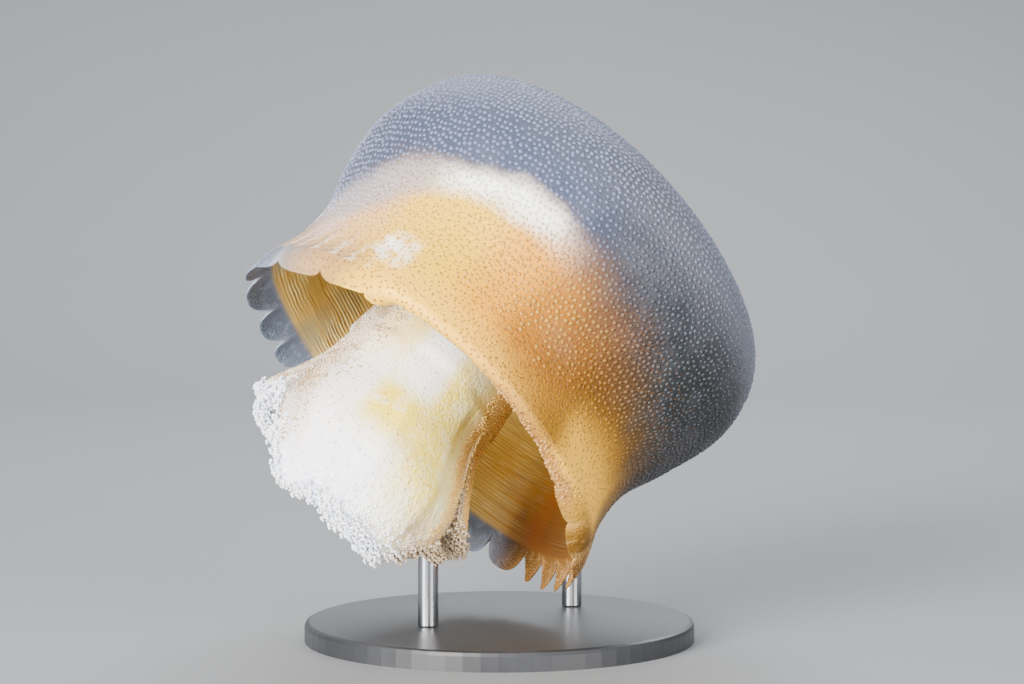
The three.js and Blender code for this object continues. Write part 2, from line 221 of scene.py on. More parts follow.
@dataclass
class LappetForm:
    """The lappets that hang from the rim."""

    bell: BellForm
    edges: tuple[float, ...] = (
        0, 9, 18, 27, 36, 50, 64, 79, 94, 110, 126, 139, 155, 175, 189,
        204, 223, 240, 255, 270, 285, 300, 315, 330, 345,
    )
    columns_per_degree: float = 1.1
    length: float = 7.8
    tip_thickness: float = 0.7
    curl_share: float = 0.75
    curl: tuple = (
        (0, 15), (45, 5), (90, -5), (135, -10), (180, 15), (222, 55),
        (238, 15), (248, 140), (272, 168), (300, 140), (325, 95), (360, 15),
    )
    webbed: tuple = (
        (0, 0), (189, 0), (200, 0.55), (236, 0.72), (246, 0.85), (318, 0.8), (348, 0.72), (360, 0),
    )
    pointed_end: float = 36.0
    own_length: tuple[float, float] = (0.92, 1.04)
    lean: tuple[float, float] = (-0.16, 0.16)
    round_form: tuple[float, float, float] = (1.0, 3.0, 0.45)
    sharp_form: tuple[float, float, float] = (1.1, 1.2, 0.9)
    shortest: float = 0.04
    longest: float = 1.12
    swell: float = 1.0
    swell_middle: float = 0.6
    swell_turn: float = 0.7
    swell_inside: float = 0.75
    seed: int = 11

    def __post_init__(self) -> None:
        """Lays out the skin's columns, closer together towards the clefts."""
        azimuth, across, owner = [], [], []
        for number, first in enumerate(self.edges):
            last = (*self.edges, 360.0)[number + 1]
            count = round((last - first) * self.columns_per_degree)
            spread = np.sin(np.linspace(-1, 1, count, endpoint=False) * np.pi / 2)
            azimuth.append((first + last) / 2 + spread * (last - first) / 2)
            across.append(spread)
            owner.append(np.full(count, number))
        self.azimuth = np.radians(np.concatenate(azimuth))
        self.across = np.concatenate(across)
        self.owner = np.concatenate(owner)

    @staticmethod
    def along_keys(keys: tuple, degrees: np.ndarray) -> np.ndarray:
        """Eases from one key to the next.

        Args:
            keys: Pairs of an azimuth in degrees and a value.
            degrees: Azimuths in degrees.

        Returns:
            The value at each azimuth.
        """
        marks = np.array(keys, float)
        degrees = degrees % 360
        index = np.clip(np.searchsorted(marks[:, 0], degrees, "right") - 1, 0, len(marks) - 2)
        share = (degrees - marks[index, 0]) / (marks[index + 1, 0] - marks[index, 0])
        return mixed(marks[index, 1], marks[index + 1, 1], step(0, 1, share))

    def reach(self) -> np.ndarray:
        """Finds how far the flesh reaches in each column.

        Returns:
            The reach, as a share of the full length.
        """
        chance = np.random.default_rng(self.seed)
        own, lean = (
            chance.uniform(*limits, len(self.edges))[self.owner]
            for limits in (self.own_length, self.lean)
        )
        degrees = np.degrees(self.azimuth)
        side = np.abs(self.across + lean * (1 - self.across**2))
        round_end, sharp_end = (
            size * (1 - side**bulge) ** blunt for size, bulge, blunt in (self.round_form, self.sharp_form)
        )
        shape = np.where(degrees < self.pointed_end, sharp_end, round_end) * own
        web = self.along_keys(self.webbed, degrees)
        return np.clip(mixed(shape, 1.0, web), self.shortest, self.longest)

    def faces(self, along: np.ndarray) -> tuple[np.ndarray, np.ndarray]:
        """Finds points on the lappets' outer and inner faces.

        Args:
            along: How far along, one row for each row of points.

        Returns:
            The outer and the inner points.
        """
        azimuth = np.broadcast_to(self.azimuth, along.shape)
        bell = self.bell
        rim = bell.point(bell.outer, RIM, azimuth)
        back = np.linalg.norm(rim - bell.point(bell.inner, RIM, azimuth), axis=-1)
        down = unit(rim - bell.point(bell.outer, RIM - 0.2, azimuth))
        ahead, behind = (bell.point(bell.outer, RIM, azimuth + turn) for turn in (0.02, -0.02))
        outward = unit(np.cross(down, ahead - behind))
        degrees = np.degrees(azimuth)
        rate = np.radians(self.along_keys(self.curl, degrees)) / self.curl_share
        rate = np.where(np.abs(rate) < 1e-3, 1e-3, rate)
        bent = np.minimum(along, self.curl_share)
        turn = rate * bent
        fall = np.sin(turn) / rate + (along - bent) * np.cos(turn)
        drift = (1 - np.cos(turn)) / rate + (along - bent) * np.sin(turn)
        facing = outward * np.cos(turn)[..., None] + down * np.sin(turn)[..., None]
        outer = rim + self.length * (down * fall[..., None] - outward * drift[..., None])
        thick = mixed(back, self.tip_thickness, np.sqrt(along))
        inner = outer - facing * thick[..., None]
        free = 1 - self.along_keys(self.webbed, degrees)
        rise = np.sin(np.pi * np.clip(along, 0, 1) * self.swell_turn)
        pillow = (self.swell_middle - self.across**2) * self.swell * free * rise
        cup = facing * pillow[..., None]
        return outer + cup, inner + cup * self.swell_inside


@dataclass
class TrunkForm:
    """The manubrium, from the hollow's roof down to the mouth arms."""

    heights: tuple[float, ...] = (10.6, 19, 31, 44, 56, 63.4)
    middles: tuple[float, ...] = (-4.5, -4.5, -4.2, -3.5, -2.5, -1)
    radii: tuple[float, ...] = (22.4, 21.6, 19.8, 18.8, 19.5, 22)
    ribs: int = 4
    rib_depth: float = 0.035
    middle_degree: int = 3
    radius_degree: int = 4

    def point(self, height: np.ndarray, azimuth: np.ndarray) -> np.ndarray:
        """Finds points on the trunk.

        Args:
            height: Heights, in the shape of azimuth or one that broadcasts to it.
            azimuth: Azimuths in radians.

        Returns:
            Points in the animal's frame.
        """
        height, azimuth = np.broadcast_arrays(np.asarray(height, float), azimuth)
        fit = np.polynomial.Polynomial.fit
        middle = fit(self.heights, self.middles, self.middle_degree)(height)
        radius = fit(self.heights, self.radii, self.radius_degree)(height)
        radius = radius * (1 + self.rib_depth * np.cos(self.ribs * azimuth))
        return np.stack(
            [middle + radius * np.cos(azimuth), radius * np.sin(azimuth), height], axis=-1
        )


@dataclass(frozen=True)
class Arm:
    """One mouth arm: where it hangs, how wide it is and the line that its outer face follows."""

    azimuth: float
    half: float
    line: tuple


LONG = ((22.4, 10.2), (23.8, 0), (27.6, -9), (31, -18), (30.2, -28.5), (25.5, -39.5))
LEFT = ((22.4, 10.2), (23.6, 0), (26.6, -9), (28.6, -18), (27, -28), (22.8, -37.5))
SHORT = ((22.4, 10.2), (24, 2), (26.6, -5), (30, -11.5), (32.4, -16.5), (32.6, -21))


@dataclass
class ArmForm:
    """The ring of eight mouth arms; the two at the front hang as one broad apron."""

    arms: tuple[Arm, ...] = (
        Arm(-118, 27.6, LEFT),
        Arm(-60, 29.6, LONG),
        *(Arm(azimuth, 18, SHORT) for azimuth in (-10, 30, 70, 110, 150, 190)),
    )
    middle_x: tuple[float, float] = (-4.5, -2)
    root_depth: float = 10.5
    tip_depth: float = 4.5
    edge_depth: float = 1.8
    cleft_reach: float = 0.16
    cleft_start: float = 0.9
    single_reach: float = 0.86
    tip_width: float = 0.92
    tip_rise: float = 0.24
    joining: float = 4.0
    fold_depth: float = 0.9
    fold: tuple[float, ...] = (-55, -47, -28, -12)
    apron_ends: tuple[float, float] = (-172.0, -29.5)
    ripples: tuple = ((0.012, 0.6, 0.4), (0.011, 1.13, 2), (0.009, 1.9, 1))
    apron: tuple = (
        (-174, 0.82), (-168, 0.9), (-160, 0.98), (-154, 0.9), (-149, 0.82), (-145, 0.81),
        (-140, 0.86), (-135, 0.91), (-130, 0.98), (-124, 1.05),
        (-116, 1.03), (-108, 0.98), (-100, 0.96), (-92, 0.98), (-70, 0.96), (-58, 0.97),
        (-50, 0.95), (-44, 0.9), (-38, 0.85), (-33, 0.8), (-29, 0.6),
    )

    def _away(self, azimuth: np.ndarray) -> np.ndarray:
        """Returns each column's angle from each arm's middle, in degrees."""
        middles = np.radians([arm.azimuth for arm in self.arms])[:, None]
        return np.abs(signed(azimuth[None] - middles))

    def _halves(self) -> np.ndarray:
        """Returns half of each arm's width, in degrees."""
        return np.array([arm.half for arm in self.arms])[:, None]

    def across(self, azimuth: np.ndarray) -> np.ndarray:
        """Returns how far across its arm each column lies, 0 at the middle and 1 at the edge."""
        return (self._away(azimuth) / self._halves()).min(axis=0)

    def on_apron(self, azimuth: np.ndarray) -> np.ndarray:
        """Returns whether each column is on the apron."""
        return (signed(azimuth) > self.apron_ends[0]) & (signed(azimuth) < self.apron_ends[1])

    def reach(self, azimuth: np.ndarray) -> np.ndarray:
        """Finds how far the flesh reaches in each column.

        Args:
            azimuth: Azimuth of each column.

        Returns:
            The reach, as a share of the full length.
        """
        across = self.across(azimuth)
        share = np.clip(np.sqrt(np.clip(1 - across**2, 0, 1)) / self.tip_width, 0, 1)
        curve = 0.5 - np.sin(np.arcsin(1 - 2 * share) / 3)
        tip = 1 - self.tip_rise + self.tip_rise * curve
        cleft = step(self.cleft_start, 1.0, across)
        single = self.single_reach * mixed(tip, self.cleft_reach, cleft)
        degrees = signed(azimuth)
        ragged = sum(size * np.sin(degrees * rate + shift) for size, rate, shift in self.ripples)
        broad = np.interp(degrees, *np.transpose(self.apron)) + ragged
        return np.where(self.on_apron(azimuth), broad, single)

    def faces(self, azimuth: np.ndarray, along: np.ndarray) -> tuple[np.ndarray, np.ndarray]:
        """Finds points on the arms' outer and inner faces.

        Args:
            azimuth: Azimuth of each column.
            along: How far along, one row for each row of points.

        Returns:
            The outer and the inner points.
        """
        halves = self._halves()
        weights = step(halves + self.joining, halves - self.joining, self._away(azimuth)) + 1e-6
        weights = weights / weights.sum(axis=0)
        spot = np.zeros((*along.shape, 2))
        slope = np.zeros((*along.shape, 2))
        for arm, weight in zip(self.arms, weights):
            line = Curve(list(arm.line))
            spot += line.at(along) * weight[None, :, None]
            slope += (line.at(along + 0.01) - line.at(along - 0.01)) * weight[None, :, None]
        slope = unit(slope)
        sunk = band(signed(azimuth), *self.fold)
        spot[..., 0] -= self.fold_depth * sunk[None] * step(0, 0.12, along)
        keel = mixed(self.root_depth, self.tip_depth, along)
        edge = np.clip(self.across(azimuth), 0, 1) ** 2
        depth = mixed(keel, self.edge_depth, edge[None])
        middle = mixed(*self.middle_x, along)
        inward = np.stack([slope[..., 1], -slope[..., 0]], -1) * depth[..., None]
        return self._place(spot, middle, azimuth), self._place(spot + inward, middle, azimuth)

    @staticmethod
    def _place(spot: np.ndarray, middle: np.ndarray, azimuth: np.ndarray) -> np.ndarray:
        """Turns radius and height into points round the ring's middle."""
        out, height = spot[..., 0], spot[..., 1]
        return np.stack([middle + out * np.cos(azimuth), out * np.sin(azimuth), height], axis=-1)


# ---------------------------------------------------------------- the skin


@dataclass
class Rows:
    """Rows of points round the animal, with what the finishes need to know at each point."""

    points: list[np.ndarray] = field(default_factory=list)
    run: list[np.ndarray] = field(default_factory=list)
    reach: list[np.ndarray] = field(default_factory=list)
    across: list[np.ndarray] = field(default_factory=list)

    def add(self, points: np.ndarray, run: np.ndarray, reach: np.ndarray, across: np.ndarray) -> None:
        """Adds rows.

        Args:
            points: Points, as rows by columns by three.
            run: Each row's mark along the skin's way.
            reach: How far along a lappet or arm each point is, or 0.
            across: How far across its lappet or arm each column is.
        """
        shape = points.shape[:2]
        self.points.extend(points)
        self.run.extend(np.broadcast_to(np.reshape(run, (-1, 1)), shape))
        self.reach.extend(np.broadcast_to(reach, shape))
        self.across.extend(np.broadcast_to(across, shape))


@dataclass
class Skin:
    """The one closed skin over all the flesh."""

    pose: Pose = field(default_factory=Pose)
    bell: BellForm = field(default_factory=BellForm)
    trunk: TrunkForm = field(default_factory=TrunkForm)
    arms: ArmForm = field(default_factory=ArmForm)
    coat_depth: float = 0.15
    cleft_depth: float = 0.35
    cleft_start: float = 6.6
    cleft_sharpness: int = 6
    top_station: float = 0.12
    bell_rows: int = 60
    hem_rows: int = 12
    hollow_rows: int = 52
    corner_rows: int = 7
    trunk_rows: int = 24
    arm_rows: int = 27
    mouth_rows: int = 6
    wall_ends: tuple[float, float] = (7.95, 1.5)
    corner_height: float = 63.6
    trunk_ends: tuple[float, float] = (57.0, 11.2)
    mouth_height: float = 11.5
    pole_heights: tuple[float, float] = (86.5, 11.7)
    wart_split: float = 3.5
    arm_length: float = 48.0
    ridge: tuple[float, ...] = (-43, -36, -16, -6)
    strip: tuple[float, ...] = (-172, -168, -150, -124)
    front_lip: tuple[float, ...] = (-86, -76, -44, -36)
    lip_granules: float = 0.4
    lip_most: float = 1.8
    lip_share: float = 0.45

    def __post_init__(self) -> None:
        """Hangs the lappets on the bell and takes their columns, with no rows yet."""
        self.lappets = LappetForm(self.bell)
        self.azimuth, self.across = self.lappets.azimuth, self.lappets.across
        self.rows = Rows()

    def build(self, finish: bpy.types.Material) -> bpy.types.Object:
        """Makes the skin.

        Args:
            finish: The skin's material.

        Returns:
            The finished object, with its marks as attributes.
        """
        self._outer()
        self._hem()
        self._hollow()
        self._arms()
        return self._mesh(finish)

    def _outer(self) -> None:
        """Adds the bell's outside, with shallow clefts that run up from between the lappets."""
        bell, lappets = self.bell, self.lappets
        stations = np.linspace(self.top_station, RIM, self.bell_rows)[:, None]
        points = bell.point(bell.outer, stations, self.azimuth[None])
        ahead = np.roll(points, -1, axis=1) - np.roll(points, 1, axis=1)
        down = bell.point(bell.outer, stations + 0.05, self.azimuth[None]) - points
        outward = unit(np.cross(down, ahead))
        free = 1 - lappets.along_keys(lappets.webbed, np.degrees(self.azimuth))
        parted = (np.abs(self.across) ** self.cleft_sharpness * free)[None]
        cleft = step(self.cleft_start, RIM, stations) * parted * self.cleft_depth
        self.rows.add(points - outward * cleft[..., None], stations, 0.0, 0.0)

    def _hem(self) -> None:
        """Adds the lappets."""
        length = self.lappets.reach()
        out = np.linspace(0, 1, self.hem_rows)[1:, None]
        self._flap(self.lappets.faces(out * length), RIM, out, length, np.abs(self.across))

    def _hollow(self) -> None:
        """Adds the hollow's wall and roof, and the trunk down from it."""
        first, last = self.wall_ends
        stations = np.linspace(first, last, self.hollow_rows)[:, None]
        wall = self.bell.point(self.bell.inner, stations, self.azimuth[None])
        run = HOLLOW + (ROOF - HOLLOW) * (first - stations) / (first - last)
        self.rows.add(wall, run, 0.0, 0.0)
        bend = np.linspace(0, 1, self.corner_rows)[1:-1, None, None]
        corner, top = (
            self.trunk.point(height, self.azimuth) for height in (self.corner_height, self.trunk_ends[0])
        )
        fillet = wall[-1] * (1 - bend) ** 2 + 2 * bend * (1 - bend) * corner + top * bend**2
        self.rows.add(fillet, ROOF + bend[:, 0, 0], 0.0, 0.0)
        heights, run = (
            np.linspace(*ends, self.trunk_rows)[:, None] for ends in (self.trunk_ends, (TRUNK, ARMS))
        )
        self.rows.add(self.trunk.point(heights, self.azimuth[None]), run, 0.0, 1.0)

    def _arms(self) -> None:
        """Adds the arms, and closes the ring at the mouth."""
        length = self.arms.reach(self.azimuth)
        out = np.linspace(0, 1, self.arm_rows)[:, None]
        side = np.clip(self.arms.across(self.azimuth), 0, 1)
        faces = self.arms.faces(self.azimuth, out * length)
        self._flap(faces, ARMS, out, length, side)
        middle = np.array([self.arms.middle_x[0], 0, self.mouth_height])
        close = np.linspace(0, 1, self.mouth_rows)[1:-1, None, None]
        self.rows.add(mixed(faces[1][0], middle, close), MOUTH + close[:, 0, 0], 0.0, side)

    def _flap(
        self,
        faces: tuple[np.ndarray, np.ndarray],
        start: float,
        out: np.ndarray,
        length: np.ndarray,
        side: np.ndarray,
    ) -> None:
        """Adds a flap: out along one face, round a lip and back along the other.

        Args:
            faces: The outer and inner faces.
            start: The run at the flap's root.
            out: How far out each row is.
            length: Each column's reach.
            side: How far across its lappet or arm each column is.
        """
        outer, inner = faces
        onward = unit(outer[-1] - outer[-3])
        thick = np.linalg.norm(outer[-1] - inner[-1], axis=-1, keepdims=True)
        lip = (outer[-1] + inner[-1]) / 2 + onward * np.minimum(thick, self.lip_most) * self.lip_share
        self.rows.add(outer, start + out, out * length, side)
        self.rows.add(lip[None], np.array([start + 1]), length, side)
        self.rows.add(inner[::-1], start + 2 - out[::-1], out[::-1] * length, side)

    def _mesh(self, finish: bpy.types.Material) -> bpy.types.Object:
        """Turns the rows into a closed mesh with its marks and its bake map.

        Args:
            finish: The skin's material.

        Returns:
            The skin.
        """
        grid = np.stack(self.rows.points)
        count, columns = grid.shape[:2]
        body = self.pose.to_row(grid).reshape(-1, 3)
        crown, mouth = self.pole_heights
        poles = np.array([[self.bell.crown_top[0], 0, crown], [self.arms.middle_x[0], 0, mouth]])
        vertices = np.concatenate([body, self.pose.to_row(poles)])
        across = np.arange(columns)
        after = (across + 1) % columns
        first = (np.arange(count - 1) * columns)[:, None]
        quads = np.stack(
            [first + across, first + columns + across, first + columns + after, first + after], -1
        ).reshape(-1, 4)
        north, south = len(body), len(body) + 1
        last = (count - 1) * columns
        caps = [(north, int(a), int(b)) for a, b in zip(across, after)]
        caps += [(south, int(last + b), int(last + a)) for a, b in zip(across, after)]
        mesh = bpy.data.meshes.new("skin")
        mesh.from_pydata(vertices.tolist(), [], quads.tolist() + caps)
        mesh.update()
        normals = np.empty(len(vertices) * 3)
        mesh.vertex_normals.foreach_get("vector", normals)
        vertices -= normals.reshape(-1, 3) * self.coat_depth * MM
        mesh.vertices.foreach_set("co", vertices.ravel())
        mesh.polygons.foreach_set("use_smooth", np.ones(len(mesh.polygons), bool))
        self._marks(mesh)
        self._bake_map(mesh, grid)
        mesh.materials.append(finish)
        mesh.update()
        made = bpy.data.objects.new("skin", mesh)
        bpy.context.collection.objects.link(made)
        return made

    def _marks(self, mesh: bpy.types.Mesh) -> None:
        """Writes what the finishes read, and how thickly each kind of small body stands.

        Args:
            mesh: The skin's mesh.
        """
        rows, count = self.rows, len(self.rows.points)
        run = np.append(np.concatenate(rows.run), [0.0, POLE])
        reach, across, angle, arm_edge = (
            np.append(values, [0.0, 0.0])
            for values in (
                np.concatenate(rows.reach),
                np.concatenate(rows.across),
                np.tile(self.azimuth, count),
                np.tile(self.arms.reach(self.azimuth), count),
            )
        )
        for name, values in {
            "run": run,
            "reach": reach,
            "across": across,
            "warts_high": (run < self.wart_split) * step(0.0, 0.3, run),
            "warts_low": (run >= self.wart_split) * step(7.0, 6.0, run),
            "grains": step(8.3, 7.8, run) * step(5.2, 6.6, run),
            "specks": ((run > RIM + 0.05) & (run < HOLLOW - 0.1)) * (np.sin(angle) > -0.3),
            "frill": self._frill(run, reach, across, arm_edge),
            "sprigs": (np.abs(run - EDGES) < 0.07) * step(0.25, 0.4, reach),
            "strands": self._strands(run, reach, angle),
        }.items():
            mesh.attributes.new(name, "FLOAT", "POINT").data.foreach_set(
                "value", values.astype(np.float32)
            )
        around = np.stack([np.cos(angle), np.sin(angle), angle * 0], -1)
        around[-2:] = 0
        mesh.attributes.new("around", "FLOAT_VECTOR", "POINT").data.foreach_set(
            "vector", around.astype(np.float32).ravel()
        )
        LOG.info("skin has %d columns", len(self.azimuth))

    def _frill(
        self, run: np.ndarray, reach: np.ndarray, across: np.ndarray, edge: np.ndarray
    ) -> np.ndarray:
        """Places the beads: along the arms' edges, and thinly all over their inner faces.

        Args:
            run: How far along the skin's way each point is.
            reach: How far along its arm.
            across: How far across it; not used.
            edge: How far along the arm's edge is there.

        Returns:
            How thickly beads stand, from 0 to 1.
        """
        from_tip = (edge - reach) * self.arm_length
        near = step(8.0, 2.0, from_tip) * step(0.2, 0.4, edge)
        outside = (run >= ARMS) & (run <= EDGES)
        inside = (run > EDGES) & (run < MOUTH)
        return outside * near + inside * np.maximum(near, 0.2) * step(0.05, 0.2, reach)

    def _strands(self, run: np.ndarray, reach: np.ndarray, angle: np.ndarray) -> np.ndarray:
        """Places the granules: on the trunk's seams and its fold, and on the front lip.

        Args:
            run: How far along the skin's way each point is.
            reach: How far along its arm.
            angle: Its azimuth in radians.

        Returns:
            How thickly granules stand, from 0 to 1.
        """
        seam = step(0.72, 0.86, self.arms.across(angle)) * ~self.arms.on_apron(angle)
        degrees = signed(angle)
        dense = np.maximum(np.maximum(seam, band(degrees, *self.ridge)), band(degrees, *self.strip))
        stem = step(19.15, 19.5, run) * (run <= EDGES) * step(0.95, 0.8, reach)
        lip = band(degrees, *self.front_lip) * (run > RIM + 0.36) * (run < LIP + 0.3)
        return np.maximum(dense * stem, lip * self.lip_granules)

    def _bake_map(self, mesh: bpy.types.Mesh, grid: np.ndarray) -> None:
        """Unrolls the skin: round the animal across the map, and along its way up it.

        Args:
            mesh: The skin's mesh.
            grid: Its points, as rows by columns by three.
        """
        count, columns = grid.shape[:2]
        steps = np.linalg.norm(np.diff(grid, axis=0), axis=-1).mean(axis=1)
        along = np.concatenate([[0.0], np.cumsum(steps)])
        LOG.info("skin is %.0f mm from crown to mouth", along[-1])
        along = 0.01 + 0.98 * (along + 3) / (along[-1] + 6)
        loops = np.empty(len(mesh.loops), int)
        mesh.loops.foreach_get("vertex_index", loops)
        north = count * columns
        row = np.minimum(loops // columns, count - 1)
        v = np.where(loops == north, 0.0, np.where(loops == north + 1, 1.0, along[row]))
        column = loops % columns
        starts, totals = np.empty((2, len(mesh.polygons)), int)
        mesh.polygons.foreach_get("loop_start", starts)
        mesh.polygons.foreach_get("loop_total", totals)
        furthest = np.repeat(np.maximum.reduceat(column, starts), totals)
        wraps = (furthest == columns - 1) & (column == 0) & (loops < north)
        u = np.where(wraps, 1.0, self.azimuth[column] / (2 * np.pi))
        tips = starts[totals == 3]
        u[tips] = (u[tips + 1] + u[tips + 2]) / 2
        layer = mesh.uv_layers.new(name=BAKE_MAP)
        layer.data.foreach_set("uv", np.stack([u, v], -1).ravel())


# ---------------------------------------------------------------- node trees


def tone(red: int, green: int, blue: int) -> tuple[float, float, float, float]:
    """Turns a display tone into the linear colour that shaders use.

    Args:
        red: 0 to 255.
        green: 0 to 255.
        blue: 0 to 255.

    Returns:
        The colour, with an alpha of one.
    """
    linear = [
        c / 12.92 if c <= 0.04045 else ((c + 0.055) / 1.055) ** 2.4
        for c in (red / 255, green / 255, blue / 255)
    ]
    return (*linear, 1.0)


@dataclass(frozen=True)
class Ease:
    """A share that eases from 0 where its source is at low to top where it is at high."""

    source: str
    low: float
    high: float
    top: float = 1.0


@dataclass(frozen=True)
class Layer:
    """A tone that is laid on by the product of its shares, each an Ease or keys round the side."""

    tone: Tone
    shares: tuple


class Nodes:
    """A node tree whose nodes are made, set and joined in one call each."""

    def __init__(self, tree: bpy.types.NodeTree) -> None:
        """Keeps the tree that the nodes go in."""
        self.tree = tree

    def node(
        self, kind: str, inputs: "dict[str | int, Value] | None" = None, **settings: object
    ) -> bpy.types.Node:
        """Adds a node.

        Args:
            kind: The node's type.
            inputs: What goes in, by the input's name or number: a socket to link or a value to set.
            **settings: The node's own properties.

        Returns:
            The node.
        """
        node = self.tree.nodes.new(kind)
        for name, value in settings.items():
            setattr(node, name, value)
        for key, value in (inputs or {}).items():
            if isinstance(value, bpy.types.NodeSocket):
                self.tree.links.new(value, node.inputs[key])
            else:
                node.inputs[key].default_value = value
        return node


class Graph(Nodes):
    """A material's nodes."""

    def __init__(self, name: str) -> None:
        """Starts a material.

        Args:
            name: The material's name.
        """
        self.material = bpy.data.materials.new(name)
        self.material.use_nodes = True
        super().__init__(self.material.node_tree)
        self.tree.nodes.clear()
        self.sources: dict[str, Socket] = {}

    def source(self, name: str) -> Socket:
        """Returns the side's share or a mark of the mesh, made when it is first asked for.

        Args:
            name: The source's name.

        Returns:
            Its value at each point.
        """
        if name not in self.sources:
            self.sources[name] = self._side() if name == "side" else self.mark(name)
        return self.sources[name]

    def mark(self, name: str, kind: str = "Fac") -> Socket:
        """Reads one of the mesh's marks."""
        return self.node("ShaderNodeAttribute", attribute_name=name).outputs[kind]

    def around(self) -> Socket:
        """Reads the direction from the axis, as a vector."""
        return self.mark("around", "Vector")

    def place(self) -> Socket:
        """Returns the point's own coordinates in metres."""
        return self.node("ShaderNodeTexCoord").outputs["Object"]

    def math(self, kind: str, *values: "Value") -> Socket:
        """Returns a sum, product or other function of up to three values."""
        return self.node("ShaderNodeMath", dict(enumerate(values)), operation=kind).outputs[0]

    def vector_math(self, kind: str, *values: "Value") -> bpy.types.Node:
        """Adds a node that works on two vectors."""
        return self.node("ShaderNodeVectorMath", dict(enumerate(values)), operation=kind)

    def _side(self) -> Socket:
        """Finds the angle from the right side, front or back.

        Returns:
            The angle as a share of half a turn.
        """
        x, y, _ = self.split(self.around())
        angle = self.math("ARCTAN2", self.math("ABSOLUTE", y), x)
        return self.math("DIVIDE", angle, math.pi)

    def towards(self, azimuth: float) -> Socket:
        """Returns the cosine of the angle from an azimuth in degrees."""
        way = (math.cos(math.radians(azimuth)), math.sin(math.radians(azimuth)), 0.0)
        return self.vector_math("DOT_PRODUCT", self.around(), way).outputs["Value"]

    def ease(self, value: Socket, low: float, high: float, top: float = 1.0) -> Socket:
        """Eases a value.

        Args:
            value: The value.
            low: Where the share is 0; it may be above high.
            high: Where the share is at its top.
            top: The largest share.

        Returns:
            The share.
        """
        (start, first), (end, last) = sorted(((low, 0.0), (high, top)))
        ends = {"From Min": start, "From Max": end, "To Min": first, "To Max": last}
        return self.node(
            "ShaderNodeMapRange", {"Value": value, **ends}, interpolation_type="SMOOTHSTEP"
        ).outputs["Result"]

    def product(self, *values: Socket) -> Socket:
        """Returns the product of several shares."""
        return reduce(lambda first, second: self.math("MULTIPLY", first, second), values)

    def share(self, *parts: "Ease | tuple", **extra: Socket) -> Socket:
        """Multiplies shares.

        Args:
            *parts: Each an Ease or keys round the side.
            **extra: Sources that are not marks of the mesh, by name.

        Returns:
            The product.
        """
        shares = []
        for part in parts:
            if isinstance(part, Ease):
                value = extra[part.source] if part.source in extra else self.source(part.source)
                shares.append(self.ease(value, part.low, part.high, part.top))
            else:
                shares.append(self.follow(part))
        return self.product(*shares)

    def lay(self, colour: Socket, layers: tuple[Layer, ...], **extra: Socket) -> Socket:
        """Lays tones on a colour, one after another.

        Args:
            colour: The colour to start from.
            layers: The tones and their shares.
            **extra: Sources that are not marks of the mesh, by name.

        Returns:
            The colour with every tone on it.
        """
        for layer in layers:
            colour = self.mix(self.share(*layer.shares, **extra), colour, layer.tone)
        return colour

    def follow(self, keys: tuple) -> Socket:
        """Follows a curve round the side.

        Args:
            keys: Pairs of an angle from the right side and a value.

        Returns:
            The value at each point.
        """
        low, high = min(v for _, v in keys), max(v for _, v in keys)
        node = self.node("ShaderNodeFloatCurve", {"Value": self.source("side")})
        points = node.mapping.curves[0].points
        while len(points) < len(keys):
            points.new(0.5, 0.5)
        for point, (angle, value) in zip(points, keys):
            point.location = (angle / HALF_TURN, (value - low) / (high - low))
        node.mapping.update()
        return self.math("MULTIPLY_ADD", node.outputs["Value"], high - low, low)

    def ramp(self, stops: tuple, place: Socket | None = None) -> Socket:
        """Blends through tones round the side.

        Args:
            stops: Pairs of an angle from the right side and a display tone.
            place: Another share of half a turn than the side's own.

        Returns:
            The colour.
        """
        fac = self.source("side") if place is None else place
        node = self.node("ShaderNodeValToRGB", {"Fac": fac})
        node.color_ramp.interpolation = "EASE"
        points = node.color_ramp.elements
        while len(points) < len(stops):
            points.new(1.0)
        for point, (angle, colour) in zip(points, stops):
            point.position = angle / HALF_TURN
            point.color = tone(*colour)
        return node.outputs["Color"]

    def mix(self, share: Socket, first: "Socket | Tone", second: "Socket | Tone") -> Socket:
        """Blends two colours.

        Args:
            share: How much of the second shows.
            first: A colour, or a display tone.
            second: Another.

        Returns:
            The blend.
        """
        first, second = (
            colour if isinstance(colour, bpy.types.NodeSocket) else tone(*colour)
            for colour in (first, second)
        )
        inputs = {MIX_SHARE: share, MIX_FIRST: first, MIX_SECOND: second}
        return self.node("ShaderNodeMix", inputs, data_type="RGBA").outputs[MIX_RESULT]

    def noise(self, where: Socket, scale: float, detail: float = 3.0, rough: float = 0.5) -> Socket:
        """Returns cloudy noise from 0 to 1."""
        inputs = {"Vector": where, "Scale": scale, "Detail": detail, "Roughness": rough}
        return self.node("ShaderNodeTexNoise", inputs).outputs["Fac"]

    def cells(self, where: Socket, scale: float, space: str = "3D") -> tuple[Socket, Socket]:
        """Scatters cells.

        Args:
            where: The place.
            scale: How many cells there are to a unit.
            space: 2D or 3D.

        Returns:
            The distance from the nearest cell's middle, and the cell's own chance value.
        """
        inputs = {"Vector": where, "Scale": scale}
        node = self.node("ShaderNodeTexVoronoi", inputs, voronoi_dimensions=space)
        chance = self.node("ShaderNodeSeparateColor", {0: node.outputs["Color"]})
        return node.outputs["Distance"], chance.outputs[0]

    def stretched(self, where: Socket, amounts: tuple[float, float, float]) -> Socket:
        """Scales a place unevenly."""
        return self.vector_math("MULTIPLY", where, amounts).outputs[0]

    def joined(self, *values: "Value") -> Socket:
        """Makes a vector of three values."""
        return self.node("ShaderNodeCombineXYZ", dict(enumerate(values))).outputs[0]

    def split(self, vector: Socket) -> list[Socket]:
        """Returns a vector's three values."""
        return list(self.node("ShaderNodeSeparateXYZ", {0: vector}).outputs)

